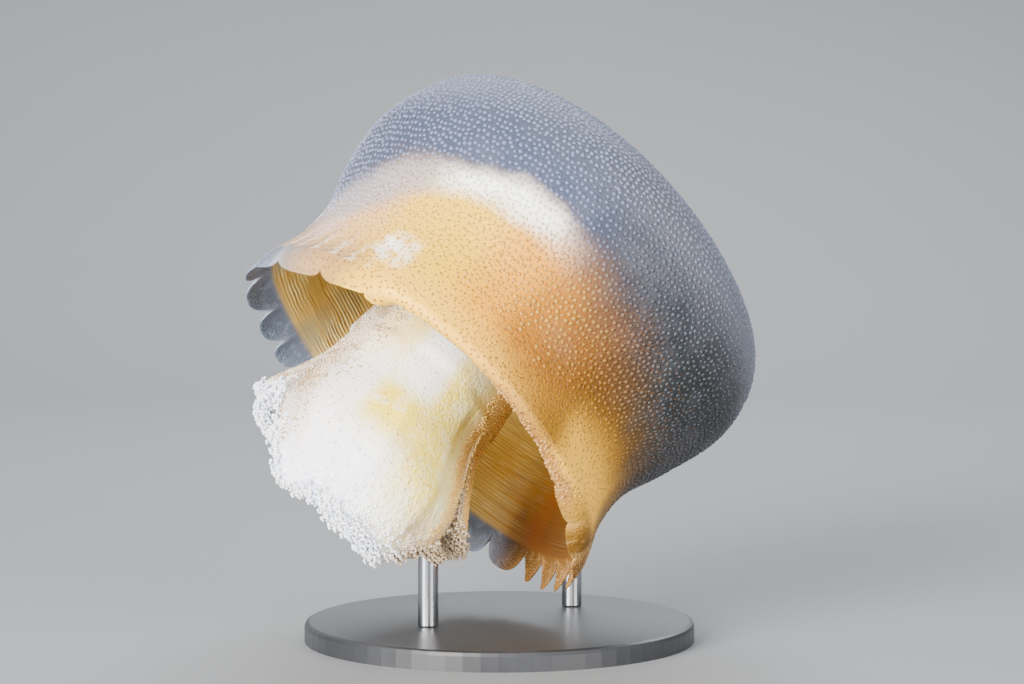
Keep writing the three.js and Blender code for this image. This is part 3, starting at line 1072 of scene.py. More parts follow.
    def bump(self, height: Socket, depth: float, strength: float, under: Socket | None = None) -> Socket:
        """Makes a normal that follows a height.

        Args:
            height: The height, from 0 to 1.
            depth: What a height of 1 is, in metres.
            strength: How much of it shows.
            under: A normal to start from.

        Returns:
            The normal.
        """
        inputs = {"Distance": depth, "Strength": strength, "Height": height}
        if under is not None:
            inputs["Normal"] = under
        return self.node("ShaderNodeBump", inputs).outputs["Normal"]

    def surface(self, **inputs: "Value") -> bpy.types.Material:
        """Ends the material in one surface.

        Args:
            **inputs: The shader's inputs by name, with underscores for spaces.

        Returns:
            The material.
        """
        named = {name.replace("_", " "): value for name, value in inputs.items()}
        shader = self.node("ShaderNodeBsdfPrincipled", named)
        self.node("ShaderNodeOutputMaterial", {"Surface": shader.outputs[0]})
        return self.material


# ---------------------------------------------------------------- finishes


@dataclass(frozen=True)
class Jelly:
    """Wet, faintly see-through flesh, shared by every fleshy finish."""

    glow: float = 0.25
    glow_radius: tuple[float, float, float] = (1.0, 0.62, 0.4)
    glow_scale: float = 0.0012
    wet: float = 0.08
    wet_rough: float = 0.25
    shine: float = 0.25
    bend: float = 1.38
    rough: float = 0.45

    def inputs(self) -> dict[str, "float | tuple"]:
        """Gathers the shader's inputs that are the same all over.

        Returns:
            The inputs, with underscores for spaces.
        """
        return {
            "Roughness": self.rough,
            "Subsurface_Weight": self.glow,
            "Subsurface_Radius": self.glow_radius,
            "Subsurface_Scale": self.glow_scale,
            "Coat_Weight": self.wet,
            "Coat_Roughness": self.wet_rough,
            "Specular_IOR_Level": self.shine,
            "IOR": self.bend,
        }


@dataclass(frozen=True)
class BellTones:
    """The bell's colours: a blue-grey crown over a golden skirt, the same front and back, with painted shade,
    painted light and a painted highlight laid on them.

    Keys pair an angle from the right side, 0 to 180 degrees, with a station, a share or a tone.
    """

    # Both ramps grow darker towards the right side, the crown under 75 degrees and the skirt under about 20:
    # painted shade.
    crown_round: tuple = (
        (0, (47, 48, 51)), (15, (40, 41, 43)), (34, (41, 43, 47)), (75, (44, 46, 55)), (100, (63, 71, 91)),
        (150, (65, 71, 90)), (175, (79, 83, 102)),
    )
    skirt_round: tuple = (
        (0, (71, 50, 17)), (17, (124, 90, 40)), (34, (147, 100, 12)), (56, (101, 61, 0)),
        (70, (122, 72, 0)), (82, (154, 95, 2)), (94, (212, 142, 8)), (110, (223, 172, 12)),
        (126, (223, 177, 46)), (140, (221, 166, 97)), (154, (202, 170, 155)), (168, (114, 104, 89)),
        (180, (116, 117, 129)),
    )
    edge: tuple = (
        (0, 6.0), (20, 5.95), (38, 5.85), (60, 5.35), (80, 5.05), (90, 4.82), (98, 4.75), (106, 4.78),
        (116, 4.88), (126, 5.06), (134, 5.3), (146, 5.7), (160, 6.1), (180, 6.5),
    )
    soft: tuple = (
        (0, 0.8), (30, 0.9), (60, 1.0), (80, 0.7), (92, 0.45), (104, 0.4), (124, 0.44),
        (140, 0.66), (180, 0.8),
    )
    # The rim keys lighten the crown's upper right towards its right limb: painted light.
    rim: tuple = ((0, 1), (60, 1), (96, 0.45), (130, 0.1), (180, 0))
    # Painted shade: the shade keys darken the crown's lower right and the skirt at the crown's edge.
    shade: tuple = ((0, 0.2), (14, 0.8), (34, 1), (50, 0.8), (72, 0.3), (96, 0), (180, 0))
    # The next two keys place painted pools of light on the lower skirt: gold from 26 to 45 degrees, cream
    # from 92 to 112.
    low_sun: tuple = ((0, 0), (14, 0.02), (26, 0.8), (45, 0.95), (60, 0.17), (70, 0.1), (82, 0), (180, 0))
    hem_light: tuple = ((0, 0), (58, 0), (72, 0.3), (92, 0.75), (112, 0.9), (130, 0.3), (180, 0))
    low_left: tuple = ((0, 0), (122, 0), (134, 0.75), (156, 0.7), (170, 0.2), (180, 0))
    patches: tuple = ((0, 0), (116, 0), (121, 1), (127, 1), (132, 0), (180, 0))
    left: tuple = ((0, 0), (118, 0), (132, 0.9), (160, 0.8), (180, 0.5))
    # Painted highlight: the lit keys and the band below lay a white glare along the crown's edge, strongest
    # from 101 to 118 degrees.
    lit: tuple = ((0, 0), (80, 0), (93, 0.5), (101, 1), (118, 1), (134, 0), (180, 0))
    grey: Tone = (100, 102, 111)
    white: Tone = (255, 251, 246)
    shaded: tuple = (Ease("height", 3.4, 4.9), shade)
    highlight_band: tuple = (lit, Ease("below", -0.8, 0.1), Ease("below", 1.35, 0.1))
    crown: tuple = (
        # Painted light on the crown's upper right.
        Layer(grey, (Ease("run", 4.4, 3.2), rim)),
        Layer((67, 76, 104), (Ease("run", 3.0, 1.0),)),
        # Painted shade on the crown's lower right.
        Layer((39, 42, 44), shaded),
        Layer(grey, (Ease("mottle", 0.4, 0.7, 0.16),)),
    )
    skirt: tuple = (
        # Painted shade: dark brown on the skirt's right, at the crown's edge.
        Layer((56, 39, 16), (shade, Ease("below", 0.5, -0.3, 0.65))),
        # Painted light: the gold and cream pools on the lower skirt.
        Layer((255, 190, 50), (Ease("height", 6.0, 7.4), low_sun)),
        Layer((255, 193, 59), (Ease("height", 6.7, 7.8), hem_light)),
        Layer((156, 120, 76), (Ease("height", 6.7, 8.0), low_left)),
        Layer(white, (patches, Ease("run", 6.4, 6.8), Ease("run", 7.6, 7.2), Ease("veins", 0.42, 0.62, 0.8))),
    )
    margin: tuple = (
        Layer((160, 146, 142), (left, Ease("below", -0.8, -0.1), Ease("below", 1.5, 0.5))),
        # The painted highlight band.
        Layer(white, highlight_band),
    )
    turn: Ease = Ease("below", -1.0, 1.0)
    wander: float = 0.7

    def heights(self, graph: Graph) -> dict[str, Socket]:
        """Finds where a point lies on the bell.

        Args:
            graph: The material's nodes.

        Returns:
            The clouded station, and how far below the crown's edge it is.
        """
        cloud = graph.noise(graph.place(), 60.0, 4.0)
        drift = graph.math("MULTIPLY_ADD", cloud, self.wander, -self.wander / 2)
        height = graph.math("ADD", graph.source("run"), drift)
        below = graph.math("SUBTRACT", height, graph.follow(self.edge))
        return {"height": height, "below": graph.math("DIVIDE", below, graph.follow(self.soft))}

    def colour(self, graph: Graph) -> Socket:
        """Paints the outside of the bell.

        Args:
            graph: The material's nodes.

        Returns:
            The colour.
        """
        sources = self.heights(graph)
        sources["mottle"] = graph.noise(graph.place(), 140.0, 5.0)
        sources["veins"] = graph.noise(graph.place(), 190.0, 4.0)
        crown = graph.lay(graph.ramp(self.crown_round), self.crown, **sources)
        skirt = graph.lay(graph.ramp(self.skirt_round), self.skirt, **sources)
        colour = graph.mix(graph.share(self.turn, **sources), crown, skirt)
        return graph.lay(colour, self.margin, **sources)


@dataclass(frozen=True)
class StemTones:
    """The trunk's and arms' colours: white to the front, gold in the fold at the right, with a painted
    highlight high on the front and painted shade along the left edge.
    """

    # The dip from 148 degrees on, darkest at 157 to 166, is painted shade along the trunk's left edge.
    tones_round: tuple = (
        (0, (206, 152, 78)), (18, (214, 162, 84)), (32, (244, 204, 122)), (47, (255, 232, 150)),
        (53, (255, 238, 176)), (57, (255, 242, 188)), (70, (255, 232, 168)), (86, (255, 246, 220)),
        (104, (255, 252, 248)), (134, (250, 242, 240)), (148, (226, 208, 186)), (157, (172, 150, 122)),
        (166, (172, 160, 154)), (180, (212, 210, 218)),
    )
    fold_drift: Ease = Ease("run", 20.35, 21.0, 0.14)
    yolk: Tone = (255, 224, 74)
    neck: Layer = Layer((255, 220, 118), (
        Ease("run", 20.35, 19.85), Ease("cloud", 0.2, 0.55, 0.9),
        Ease("side", 0.34, 0.42), Ease("side", 0.84, 0.76),
    ))
    yolk_front: Layer = Layer(yolk, (
        Ease("side", 0.38, 0.46), Ease("side", 0.65, 0.57), Ease("run", 20.12, 20.28),
        Ease("run", 20.68, 20.42), Ease("cloud", 0.32, 0.5),
    ))
    yolk_right: Layer = Layer(yolk, (
        Ease("side", 0.47, 0.4), Ease("side", 0.24, 0.3), Ease("run", 19.9, 20.08),
        Ease("run", 20.9, 20.55), Ease("cloud", 0.2, 0.55, 0.95),
    ))
    # Painted highlight: a hot white spot high on the trunk's front.
    hot_highlight: Layer = Layer((255, 253, 248), (
        Ease("side", 0.4, 0.48), Ease("side", 0.63, 0.54), Ease("run", 19.76, 19.9), Ease("run", 20.3, 20.1),
    ))
    fibres: Layer = Layer((255, 246, 214), (
        Ease("side", 0.52, 0.4), Ease("side", 0.26, 0.31), Ease("threads", 0.48, 0.62, 0.45),
    ))
    beige: Layer = Layer((204, 178, 146), (
        Ease("side", 0.36, 0.28), Ease("run", 20.66, 20.84), Ease("cloud", 0.35, 0.55, 0.8),
    ))
    milk: Layer = Layer((238, 236, 248), (Ease("run", 20.6, 20.95), Ease("side", 0.42, 0.5)))

    def colour(self, graph: Graph) -> Socket:
        """Paints the trunk and the arms' outer faces.

        Args:
            graph: The material's nodes.

        Returns:
            The colour.
        """
        place = graph.math("ADD", graph.source("side"), graph.share(self.fold_drift))
        x, y, _ = graph.split(graph.around())
        along = graph.joined(graph.math("MULTIPLY", graph.source("run"), 2.5), x, y)
        return graph.lay(
            graph.ramp(self.tones_round, place),
            (self.neck, self.yolk_front, self.yolk_right, self.hot_highlight, self.fibres, self.beige, self.milk),
            cloud=graph.noise(graph.place(), 120.0, 4.0),
            threads=graph.noise(along, 26.0, 2.0),
        )


@dataclass(frozen=True)
class SkinFinish:
    """The skin's finish: bell, hem, hollow, trunk and arms in one.

    A join says where, on the skin's way, one part's colour gives over to the next.
    """

    jelly: Jelly = Jelly()
    bell: BellTones = BellTones()
    stem: StemTones = StemTones()
    hem_join: Ease = Ease("run", 7.75, 8.25)
    hollow_join: Ease = Ease("run", 9.9, 10.25)
    stem_join: Ease = Ease("run", 18.5, 19.0)
    inside_join: Ease = Ease("run", 20.98, 21.1)
    inside: Tone = (188, 169, 149)
    front: float = -92.0
    front_fade: tuple[float, float] = (0.3, 0.75)
    # Each pair's second tone lightens the lappets' edges and tips as a painted highlight, and also comes in
    # random mottle.
    slate: tuple[Tone, Tone] = ((97, 106, 122), (132, 142, 160))
    amber: tuple[Tone, Tone] = ((114, 78, 28), (166, 124, 66))
    amber_side: Ease = Ease("side", 0.27, 0.21)
    tucked: tuple = (
        Layer((200, 156, 66), (Ease("run", 7.9, 8.9), Ease("side", 0.64, 0.5, 0.8))),
        Layer((142, 96, 48), (
            Ease("run", 8.15, 8.5), Ease("side", 0.5, 0.4), Ease("side", 0.18, 0.24, 0.75),
        )),
    )
    muscle: tuple[Tone, Tone] = ((186, 136, 51), (229, 195, 108))
    ring_turns: tuple[float, float] = (52.0, 22.0)
    ringed: tuple = (Ease("run", 10.1, 10.7), Ease("run", 18.2, 16.0))
    uneven: Ease = Ease("uneven", 0.42, 0.58)
    muscle_layers: tuple = (
        # Painted highlight: pale streaks on the ridges' crests.
        Layer((255, 246, 177), (Ease("ridge", 0.35, 1.0), Ease("fine", 0.42, 0.6, 0.95), *ringed, uneven)),
        Layer((255, 249, 197), (Ease("run", 12.0, 16.0, 0.7),)),
        Layer((158, 148, 116), (
            Ease("spoke", 0.1, 0.95), Ease("broad", 0.3, 0.6, 0.8), Ease("side", 0.2, 0.34),
        )),
    )
    hollow_right: tuple = (
        (0, (80, 36, 0)), (20, (84, 38, 0)), (27, (100, 46, 0)), (35, (138, 66, 0)), (44, (152, 86, 8)),
        (60, (190, 132, 42)), (180, (190, 132, 42)),
    )
    hollow_side: tuple = (Ease("side", 0.34, 0.18), Ease("run", 16.0, 11.5, 0.92))
    pleat: Tone = (255, 246, 238)
    pleat_turns: tuple[float, float] = (170.0, 7.0)
    pleated: tuple = (Ease("side", 0.64, 0.74), Ease("run", 6.6, 7.8), Ease("run", 8.2, 7.9))
    pore: Tone = (104, 70, 40)
    pored_stem: tuple = (Ease("run", 19.0, 19.4), Ease("run", 20.95, 20.8, 0.5))
    map_size: tuple[float, float] = (327.0, 365.0)

    def material(self) -> bpy.types.Material:
        """Builds the material.

        Returns:
            The skin's material.
        """
        graph = Graph("jelly_skin")
        bell = self.bell.colour(graph)
        hollow, ridges = self._hollow(graph)
        colour = bell
        for join, part in (
            (self.hem_join, self._hem(graph, bell)),
            (self.hollow_join, hollow),
            (self.stem_join, self.stem.colour(graph)),
            (self.inside_join, self.inside),
        ):
            colour = graph.mix(graph.share(join), colour, part)
        pores, pleats = self._pores(graph), self._pleats(graph)
        colour = graph.mix(graph.ease(pleats, 0.1, 0.9, 0.3), colour, self.pleat)
        colour = graph.mix(pores, colour, self.pore)
        place = graph.place()
        beads, _ = graph.cells(place, 1250.0)
        outside = graph.math(
            "MAXIMUM", graph.share(Ease("run", 9.6, 9.2)), graph.share(Ease("run", 18.8, 19.2, 0.8))
        )
        lumps = graph.product(graph.noise(place, 620.0), graph.share(Ease("run", 20.3, 20.8)))
        normal = None
        for height, depth, strength in (
            (graph.noise(place, 1500.0, 2.0), 0.00012, 0.4),
            (graph.product(graph.ease(beads, 0.75, 0.1), outside), 0.00016, 0.7),
            (pleats, 0.0005, 0.8),
            (lumps, 0.0008, 0.8),
            (ridges, 0.00025, 0.8),
            (graph.math("SUBTRACT", 1.0, pores), 0.00015, 0.6),
        ):
            normal = graph.bump(height, depth, strength, normal)
        return graph.surface(Base_Color=colour, Normal=normal, **self.jelly.inputs())

    def _fronted(self, graph: Graph) -> Socket:
        """Returns how near the front of the rim a point is."""
        return graph.ease(graph.towards(self.front), *self.front_fade)

    def _hem(self, graph: Graph, bell: Socket) -> Socket:
        """Paints the lappets: slate at the left, amber at the right, gold where tucked under, with a painted
        highlight along their edges.

        Args:
            graph: The material's nodes.
            bell: The bell's colour.

        Returns:
            The colour.
        """
        # Lighter towards each lappet's edges and tip: a painted highlight; the cloud adds random mottle.
        reached = graph.math("MULTIPLY", graph.source("reach"), 0.35)
        edge = graph.ease(graph.math("ADD", graph.source("across"), reached), 0.75, 1.2)
        cloud = graph.ease(graph.noise(graph.place(), 420.0), 0.5, 0.72, 0.7)
        edge = graph.math("MAXIMUM", edge, cloud)
        slate, amber = graph.mix(edge, *self.slate), graph.mix(edge, *self.amber)
        colour = graph.mix(graph.share(self.amber_side), slate, amber)
        return graph.mix(self._fronted(graph), colour, graph.lay(bell, self.tucked))

    def _hollow(self, graph: Graph) -> tuple[Socket, Socket]:
        """Paints the hollow's ring muscle, with a painted highlight on its ridges.

        Args:
            graph: The material's nodes.

        Returns:
            The colour, and the height of the muscle's ridges.
        """
        run, side, place = graph.source("run"), graph.source("side"), graph.place()
        x, y, _ = graph.split(graph.around())
        streak = graph.joined(graph.math("MULTIPLY", run, 9.0), x, y)
        along, wander = self.ring_turns
        drift = graph.math("MULTIPLY", graph.noise(place, 60.0, 2.0), wander)
        rings = graph.math("SINE", graph.math("MULTIPLY_ADD", run, along, drift))
        sources = {
            "fine": graph.noise(streak, 2.4, 4.0, 0.6),
            "broad": graph.noise(streak, 0.8),
            "uneven": graph.noise(place, 110.0),
            "ridge": graph.math("MULTIPLY_ADD", rings, 0.5, 0.5),
            "spoke": graph.math("COSINE", graph.math("MULTIPLY", side, 8 * math.pi)),
        }
        colour = graph.mix(graph.ease(sources["fine"], 0.3, 0.6), *self.muscle)
        colour = graph.lay(colour, self.muscle_layers, **sources)
        colour = graph.mix(graph.share(*self.hollow_side), colour, graph.ramp(self.hollow_right))
        return colour, graph.product(sources["ridge"], graph.share(*self.ringed, self.uneven, **sources))

    def _pleats(self, graph: Graph) -> Socket:
        """Draws the fine pleats that run down the left of the bell to its hem.

        Args:
            graph: The material's nodes.

        Returns:
            Their height.
        """
        around, wander = self.pleat_turns
        turns = graph.math("MULTIPLY", graph.source("side"), around)
        turns = graph.math("MULTIPLY_ADD", graph.noise(graph.place(), 300.0), wander, turns)
        return graph.product(graph.math("SINE", turns), graph.share(*self.pleated))

    def _pores(self, graph: Graph) -> Socket:
        """Draws the small dark pores: close on the skirt, far apart on the stem.

        Args:
            graph: The material's nodes.

        Returns:
            1 in a pore and 0 outside it.
        """
        lip = graph.product(self._fronted(graph), graph.share(Ease("run", 9.7, 9.4)))
        lip = graph.math("MAXIMUM", lip, graph.share(Ease("run", 8.5, 8.1)))
        skirt = graph.share(Ease("run", 4.5, 5.0), Ease("side", 0.9, 0.8, 0.75))
        close, sparse = self._dots(graph, 1.5, 0.17, 0.05), self._dots(graph, 3.6, 0.085, 0.3)
        return graph.math(
            "MAXIMUM", graph.product(close, skirt, lip), graph.product(sparse, graph.share(*self.pored_stem))
        )

    def _dots(self, graph: Graph, pitch: float, size: float, gaps: float) -> Socket:
        """Draws round dots on the unrolled skin.

        Args:
            graph: The material's nodes.
            pitch: How far apart the dots are, in millimetres.
            size: The dots' radius as a share of the pitch.
            gaps: The share of cells with no dot.

        Returns:
            1 in a dot and 0 outside it.
        """
        unrolled = graph.node("ShaderNodeUVMap", uv_map=BAKE_MAP).outputs[0]
        counts = (self.map_size[0] / pitch, self.map_size[1] / pitch, 1.0)
        near, chance = graph.cells(graph.stretched(unrolled, counts), 1.0, "2D")
        return graph.product(graph.ease(near, size * 1.5, size * 0.6), graph.ease(chance, gaps, gaps + 0.1))


@dataclass(frozen=True)
class WartFinish:
    """The warts' finish: the bell's colours, with their painted shade and light, paler to the top of each
    wart.
    """

    jelly: Jelly = Jelly()
    bell: BellTones = BellTones()
    warm_tips: tuple = (
        (0, (112, 105, 100)), (40, (129, 99, 40)), (60, (139, 99, 27)), (80, (177, 140, 66)),
        (95, (167, 128, 71)), (125, (185, 159, 119)), (146, (174, 166, 181)), (180, (155, 160, 193)),
    )
    # The cool tips grow darker towards the right side, under 70 degrees: painted shade.
    cool_tips: tuple = (
        (0, (86, 87, 92)), (40, (75, 78, 83)), (70, (75, 77, 91)), (100, (116, 125, 155)),
        (180, (129, 137, 165)),
    )
    top: Layer = Layer((120, 128, 154), (Ease("run", 4.2, 2.4),))
    turn: Ease = Ease("below", -0.8, 0.6)
    golden: tuple = (Ease("below", 0.2, 1.2), Ease("side", 0.52, 0.64))
    golden_loss: float = 0.7
    # The tips stand out less under the painted shade and in the painted highlight band.
    shaded_loss: float = 0.45
    highlight_band_loss: float = 0.75
    name: str = "jelly_warts"
    lift: float = 0.68

    def material(self) -> bpy.types.Material:
        """Builds the material.

        Returns:
            The warts' material.
        """
        graph = Graph(self.name)
        colour = self.bell.colour(graph)
        sources = self.bell.heights(graph)
        cool = graph.lay(graph.ramp(self.cool_tips), (self.top,))
        tip = graph.mix(graph.share(self.turn, **sources), cool, graph.ramp(self.warm_tips))
        share = graph.share(Ease("tip", -0.1, 0.32, self.lift))
        for parts, loss in (
            (self.bell.shaded, self.shaded_loss),
            (self.bell.highlight_band, self.highlight_band_loss),
            (self.golden, self.golden_loss),
        ):
            kept = graph.math("MULTIPLY_ADD", graph.share(*parts, **sources), -loss, 1.0)
            share = graph.product(share, kept)
        return graph.surface(Base_Color=graph.mix(share, colour, tip), **self.jelly.inputs())


@dataclass(frozen=True)
class BeadFinish:
    """The finish of beads and granules: one tone to the left and front, another to the right."""

    jelly: Jelly = Jelly(glow=0.35, rough=0.3)
    milk: Tone = (255, 255, 255)
    cool: Tone = (228, 230, 244)
    warm: Tone = (183, 161, 133)
    warm_side: Ease = Ease("side", 0.32, 0.2)
    inside: Layer = Layer((166, 145, 123), (Ease("run", 21.15, 21.4, 0.8),))
    lip: Layer = Layer((176, 130, 82), (Ease("run", 18.0, 10.0, 0.9),))
    name: str = "jelly_beads"

    def material(self) -> bpy.types.Material:
        """Builds the material.

        Returns:
            The beads' material.
        """
        graph = Graph(self.name)
        cloud = graph.noise(graph.place(), 260.0, 2.0)
        colour = graph.mix(graph.ease(cloud, 0.42, 0.62), self.milk, self.cool)
        colour = graph.lay(colour, (self.inside, Layer(self.warm, (self.warm_side,)), self.lip))
        return graph.surface(Base_Color=colour, **self.jelly.inputs())


@dataclass(frozen=True)
class SpeckFinish:
    """The finish of the lappets' pale specks."""

    jelly: Jelly = Jelly(rough=0.36)
    dull: Tone = (98, 106, 120)
    pale: Tone = (142, 150, 168)
    warm: Layer = Layer((190, 146, 90), (Ease("side", 0.5, 0.3, 0.8),))

    def material(self) -> bpy.types.Material:
        """Builds the material.

        Returns:
            The specks' material.
        """
        graph = Graph("jelly_specks")
        cloud = graph.noise(graph.place(), 700.0, 2.0)
        colour = graph.mix(graph.ease(cloud, 0.38, 0.62), self.dull, self.pale)
        return graph.surface(Base_Color=graph.lay(colour, (self.warm,)), **self.jelly.inputs())


@dataclass(frozen=True)
class PaintFinish:
    """Satin paint on the stand's base."""

    colour: Tone = (34, 35, 38)
    worn: Tone = (48, 49, 52)

    def material(self) -> bpy.types.Material:
        """Builds the material.

        Returns:
            The paint's material.
        """
        graph = Graph("satin_paint")
        cloud = graph.noise(graph.place(), 40.0, 4.0)
        return graph.surface(
            Base_Color=graph.mix(graph.ease(cloud, 0.3, 0.8), self.colour, self.worn),
            Roughness=graph.math("MULTIPLY_ADD", cloud, 0.12, 0.36),
            Normal=graph.bump(graph.noise(graph.place(), 2600.0, 2.0), 0.00004, 0.5),
            Coat_Weight=0.15,
            Coat_Roughness=0.3,
        )


@dataclass(frozen=True)
class SteelFinish:
    """Brushed steel, with the brushing along the rods."""

    colour: Tone = (168, 170, 174)
    dark: Tone = (140, 142, 146)
    brushing: tuple[float, float, float] = (900.0, 900.0, 60.0)

    def material(self) -> bpy.types.Material:
        """Builds the material.

        Returns:
            The steel's material.
        """
        graph = Graph("brushed_steel")
        lines = graph.noise(graph.stretched(graph.place(), self.brushing), 1.0)
        return graph.surface(
            Base_Color=graph.mix(lines, self.dark, self.colour),
            Roughness=graph.math("MULTIPLY_ADD", lines, 0.2, 0.18),
            Normal=graph.bump(lines, 0.00002, 0.4),
            Metallic=1.0,
        )


# ---------------------------------------------------------------- what stands on the skin


class Slot(str, Enum):
    """The material slots that the pieces belong to."""

    CROWN = "bell_crown"
    WALL = "bell_wall"
    MARGIN = "bell_margin"
    TRUNK = "manubrium"
    ARMS = "mouth_arms"


@dataclass
class Strew:
    """Small bodies strewn over part of the skin by Geometry Nodes; sizes are in millimetres."""

    name: str
    spacing: float
    size: tuple[float, float]
    finish: bpy.types.Material
    slot: Slot
    stretch: float = 1.0
    sunk: float = 0.0
    segments: int = 8
    rings: int = 3
    cluster: int = 1
    seed: int = 1
    crowding: float = 9.0
    patch: float = 0.0015
    bunch_height: float = 4.0
    bunch_spread: tuple[float, float] = (0.4, 1.5)
    bunch_sizes: tuple[float, float] = (0.8, 1.2)

    def build(self, host: bpy.types.Object) -> bpy.types.Object:
        """Makes the piece as one plain mesh.

        Args:
            host: The skin, whose mark of this piece's name says how thickly the bodies stand.

        Returns:
            The joined mesh.
        """
        carrier = bpy.data.objects.new(f"{self.name}_carrier", host.data)
        bpy.context.collection.objects.link(carrier)
        modifier = carrier.modifiers.new("strew", "NODES")
        modifier.node_group = self._tree()
        inputs = self._inputs()
        for item in modifier.node_group.interface.items_tree:
            if item.in_out == "INPUT" and item.name in inputs:
                modifier[item.identifier] = inputs[item.name][1]
        bpy.context.view_layer.update()
        graph = bpy.context.evaluated_depsgraph_get()
        mesh = bpy.data.meshes.new_from_object(carrier.evaluated_get(graph), depsgraph=graph)
        mesh.name = self.name
        made = bpy.data.objects.new(self.name, mesh)
        bpy.context.collection.objects.link(made)
        bpy.data.objects.remove(carrier)
        LOG.info("%s: %d triangles", self.name, sum(len(p.vertices) - 2 for p in mesh.polygons))
        return made

    def _inputs(self) -> dict[str, tuple[str, "float | int"]]:
        """Gathers the tree's named inputs.

        Returns:
            Each input's kind and value.
        """
        return {
            "Spacing": ("Float", self.spacing * MM),
            "Smallest": ("Float", self.size[0] * MM),
            "Largest": ("Float", self.size[1] * MM),
            "Stretch": ("Float", self.stretch),
            "Sunk": ("Float", self.sunk),
            "Seed": ("Int", self.seed),
        }

    def _tree(self) -> bpy.types.GeometryNodeTree:
        """Builds the node tree.

        Returns:
            The tree, with its named inputs.
        """
        tree = bpy.data.node_groups.new(f"strew_{self.name}", "GeometryNodeTree")
        whole = ("Geometry", "Geometry")
        for label, kind in (whole, *((name, kind) for name, (kind, _) in self._inputs().items())):
            tree.interface.new_socket(label, in_out="INPUT", socket_type=f"NodeSocket{kind}")
        tree.interface.new_socket("Geometry", in_out="OUTPUT", socket_type="NodeSocketGeometry")
        nodes = Nodes(tree)
        given = nodes.node("NodeGroupInput").outputs
        density = nodes.node("GeometryNodeInputNamedAttribute", {"Name": self.name})
        points = nodes.node("GeometryNodeDistributePointsOnFaces", {
            "Mesh": given["Geometry"],
            "Distance Min": given["Spacing"],
            "Density Max": self.crowding / (self.spacing * MM) ** 2,
            "Density Factor": density.outputs["Attribute"],
            "Seed": given["Seed"],
        }, distribute_method="POISSON")
        size = nodes.node(
            "FunctionNodeRandomValue", {2: given["Smallest"], 3: given["Largest"], "Seed": given["Seed"]}
        )
        put = nodes.node("GeometryNodeInstanceOnPoints", {
            "Points": points.outputs["Points"],
            "Instance": self._body(nodes, given),
            "Rotation": points.outputs["Rotation"],
            "Scale": size.outputs[1],
        })
        real = nodes.node("GeometryNodeRealizeInstances", {0: put.outputs["Instances"]})
        smooth = nodes.node("GeometryNodeSetShadeSmooth", {"Geometry": real.outputs[0]})
        mapped = self._mapped(nodes, smooth.outputs["Geometry"])
        dress = nodes.node("GeometryNodeSetMaterial", {"Geometry": mapped, "Material": self.finish})
        nodes.node("NodeGroupOutput", {"Geometry": dress.outputs["Geometry"]})
        return tree

    def _body(self, nodes: Nodes, given: bpy.types.NodeOutputs) -> Socket:
        """Adds the one small body, of radius one, with its tip and patch marks.

        Args:
            nodes: The tree.
            given: The tree's inputs.

        Returns:
            The body.
        """
        shape = nodes.node(
            "GeometryNodeMeshUVSphere", {"Segments": self.segments, "Rings": self.rings, "Radius": 1.0}
        ).outputs["Mesh"]
        if self.cluster > 1:
            shape = self._sprig(nodes, shape)
        squash = nodes.node("ShaderNodeCombineXYZ", {0: 1.0, 1: 1.0, 2: given["Stretch"]})
        drop = nodes.node("ShaderNodeCombineXYZ", {2: given["Sunk"]})
        body = nodes.node("GeometryNodeTransform", {
            "Geometry": shape, "Scale": squash.outputs[0], "Translation": drop.outputs[0],
        }).outputs["Geometry"]
        where = nodes.node("GeometryNodeInputPosition").outputs[0]
        up = nodes.node("ShaderNodeSeparateXYZ", {0: where}).outputs[2]
        for name, kind, value in (("tip", "FLOAT", up), ("patch", "FLOAT_VECTOR", where)):
            body = nodes.node(
                "GeometryNodeStoreNamedAttribute", {"Name": name, "Geometry": body, "Value": value},
                data_type=kind,
            ).outputs["Geometry"]
        return body

    def _sprig(self, nodes: Nodes, bead: Socket) -> Socket:
        """Gathers a few beads into a small bunch.

        Args:
            nodes: The tree.
            bead: One bead.

        Returns:
            The bunch.
        """
        chance = np.random.default_rng(self.seed)
        joined = nodes.node("GeometryNodeJoinGeometry")
        for index in range(self.cluster):
            height = self.bunch_height * index / self.cluster
            turn, away = chance.uniform(0, 2 * math.pi), chance.uniform(*self.bunch_spread)
            radius = chance.uniform(*self.bunch_sizes)
            part = nodes.node("GeometryNodeTransform", {
                "Translation": (away * math.cos(turn), away * math.sin(turn), height),
                "Scale": (radius, radius, radius),
                "Geometry": bead,
            })
            nodes.tree.links.new(part.outputs["Geometry"], joined.inputs[0])
        return joined.outputs[0]

    def _mapped(self, nodes: Nodes, geometry: Socket) -> Socket:
        """Writes the bake map: a small patch for each body at its root's place.

        Args:
            nodes: The tree.
            geometry: The bodies.

        Returns:
            The bodies with their map.
        """
        patch, root = (
            nodes.node(
                "GeometryNodeInputNamedAttribute", {"Name": name}, data_type="FLOAT_VECTOR"
            ).outputs["Attribute"]
            for name in ("patch", BAKE_MAP)
        )
        scale = nodes.node(
            "ShaderNodeVectorMath", {0: patch, 1: (self.patch, self.patch, 0.0), 2: root},
            operation="MULTIPLY_ADD",
        )
        return nodes.node(
            "GeometryNodeStoreNamedAttribute",
            {"Name": BAKE_MAP, "Geometry": geometry, "Value": scale.outputs[0]},
            data_type="FLOAT2", domain="CORNER",
        ).outputs["Geometry"]


# ---------------------------------------------------------------- stand and studio


class Stand:
    """The display stand, whose pieces keep their shape and get their finish here."""

    def dress(self, nodes: dict[str, bpy.types.Object]) -> None:
        """Puts the finishes on the stand's nodes.

        Args:
            nodes: The model's nodes by name.
        """
        paint, steel = PaintFinish().material(), SteelFinish().material()
        for name, node in nodes.items():
            if name.startswith("stand_"):
                finish = paint if name == "stand_base" else steel
                node.data.materials.clear()
                node.data.materials.append(finish)
                LOG.info("%s: %s", name, finish.name)


@dataclass(frozen=True)
class Lamp:
    """One soft round lamp, in metres and watts."""

    name: str
    place: tuple[float, float, float]
    size: float
    power: float
    colour: tuple[float, float, float]


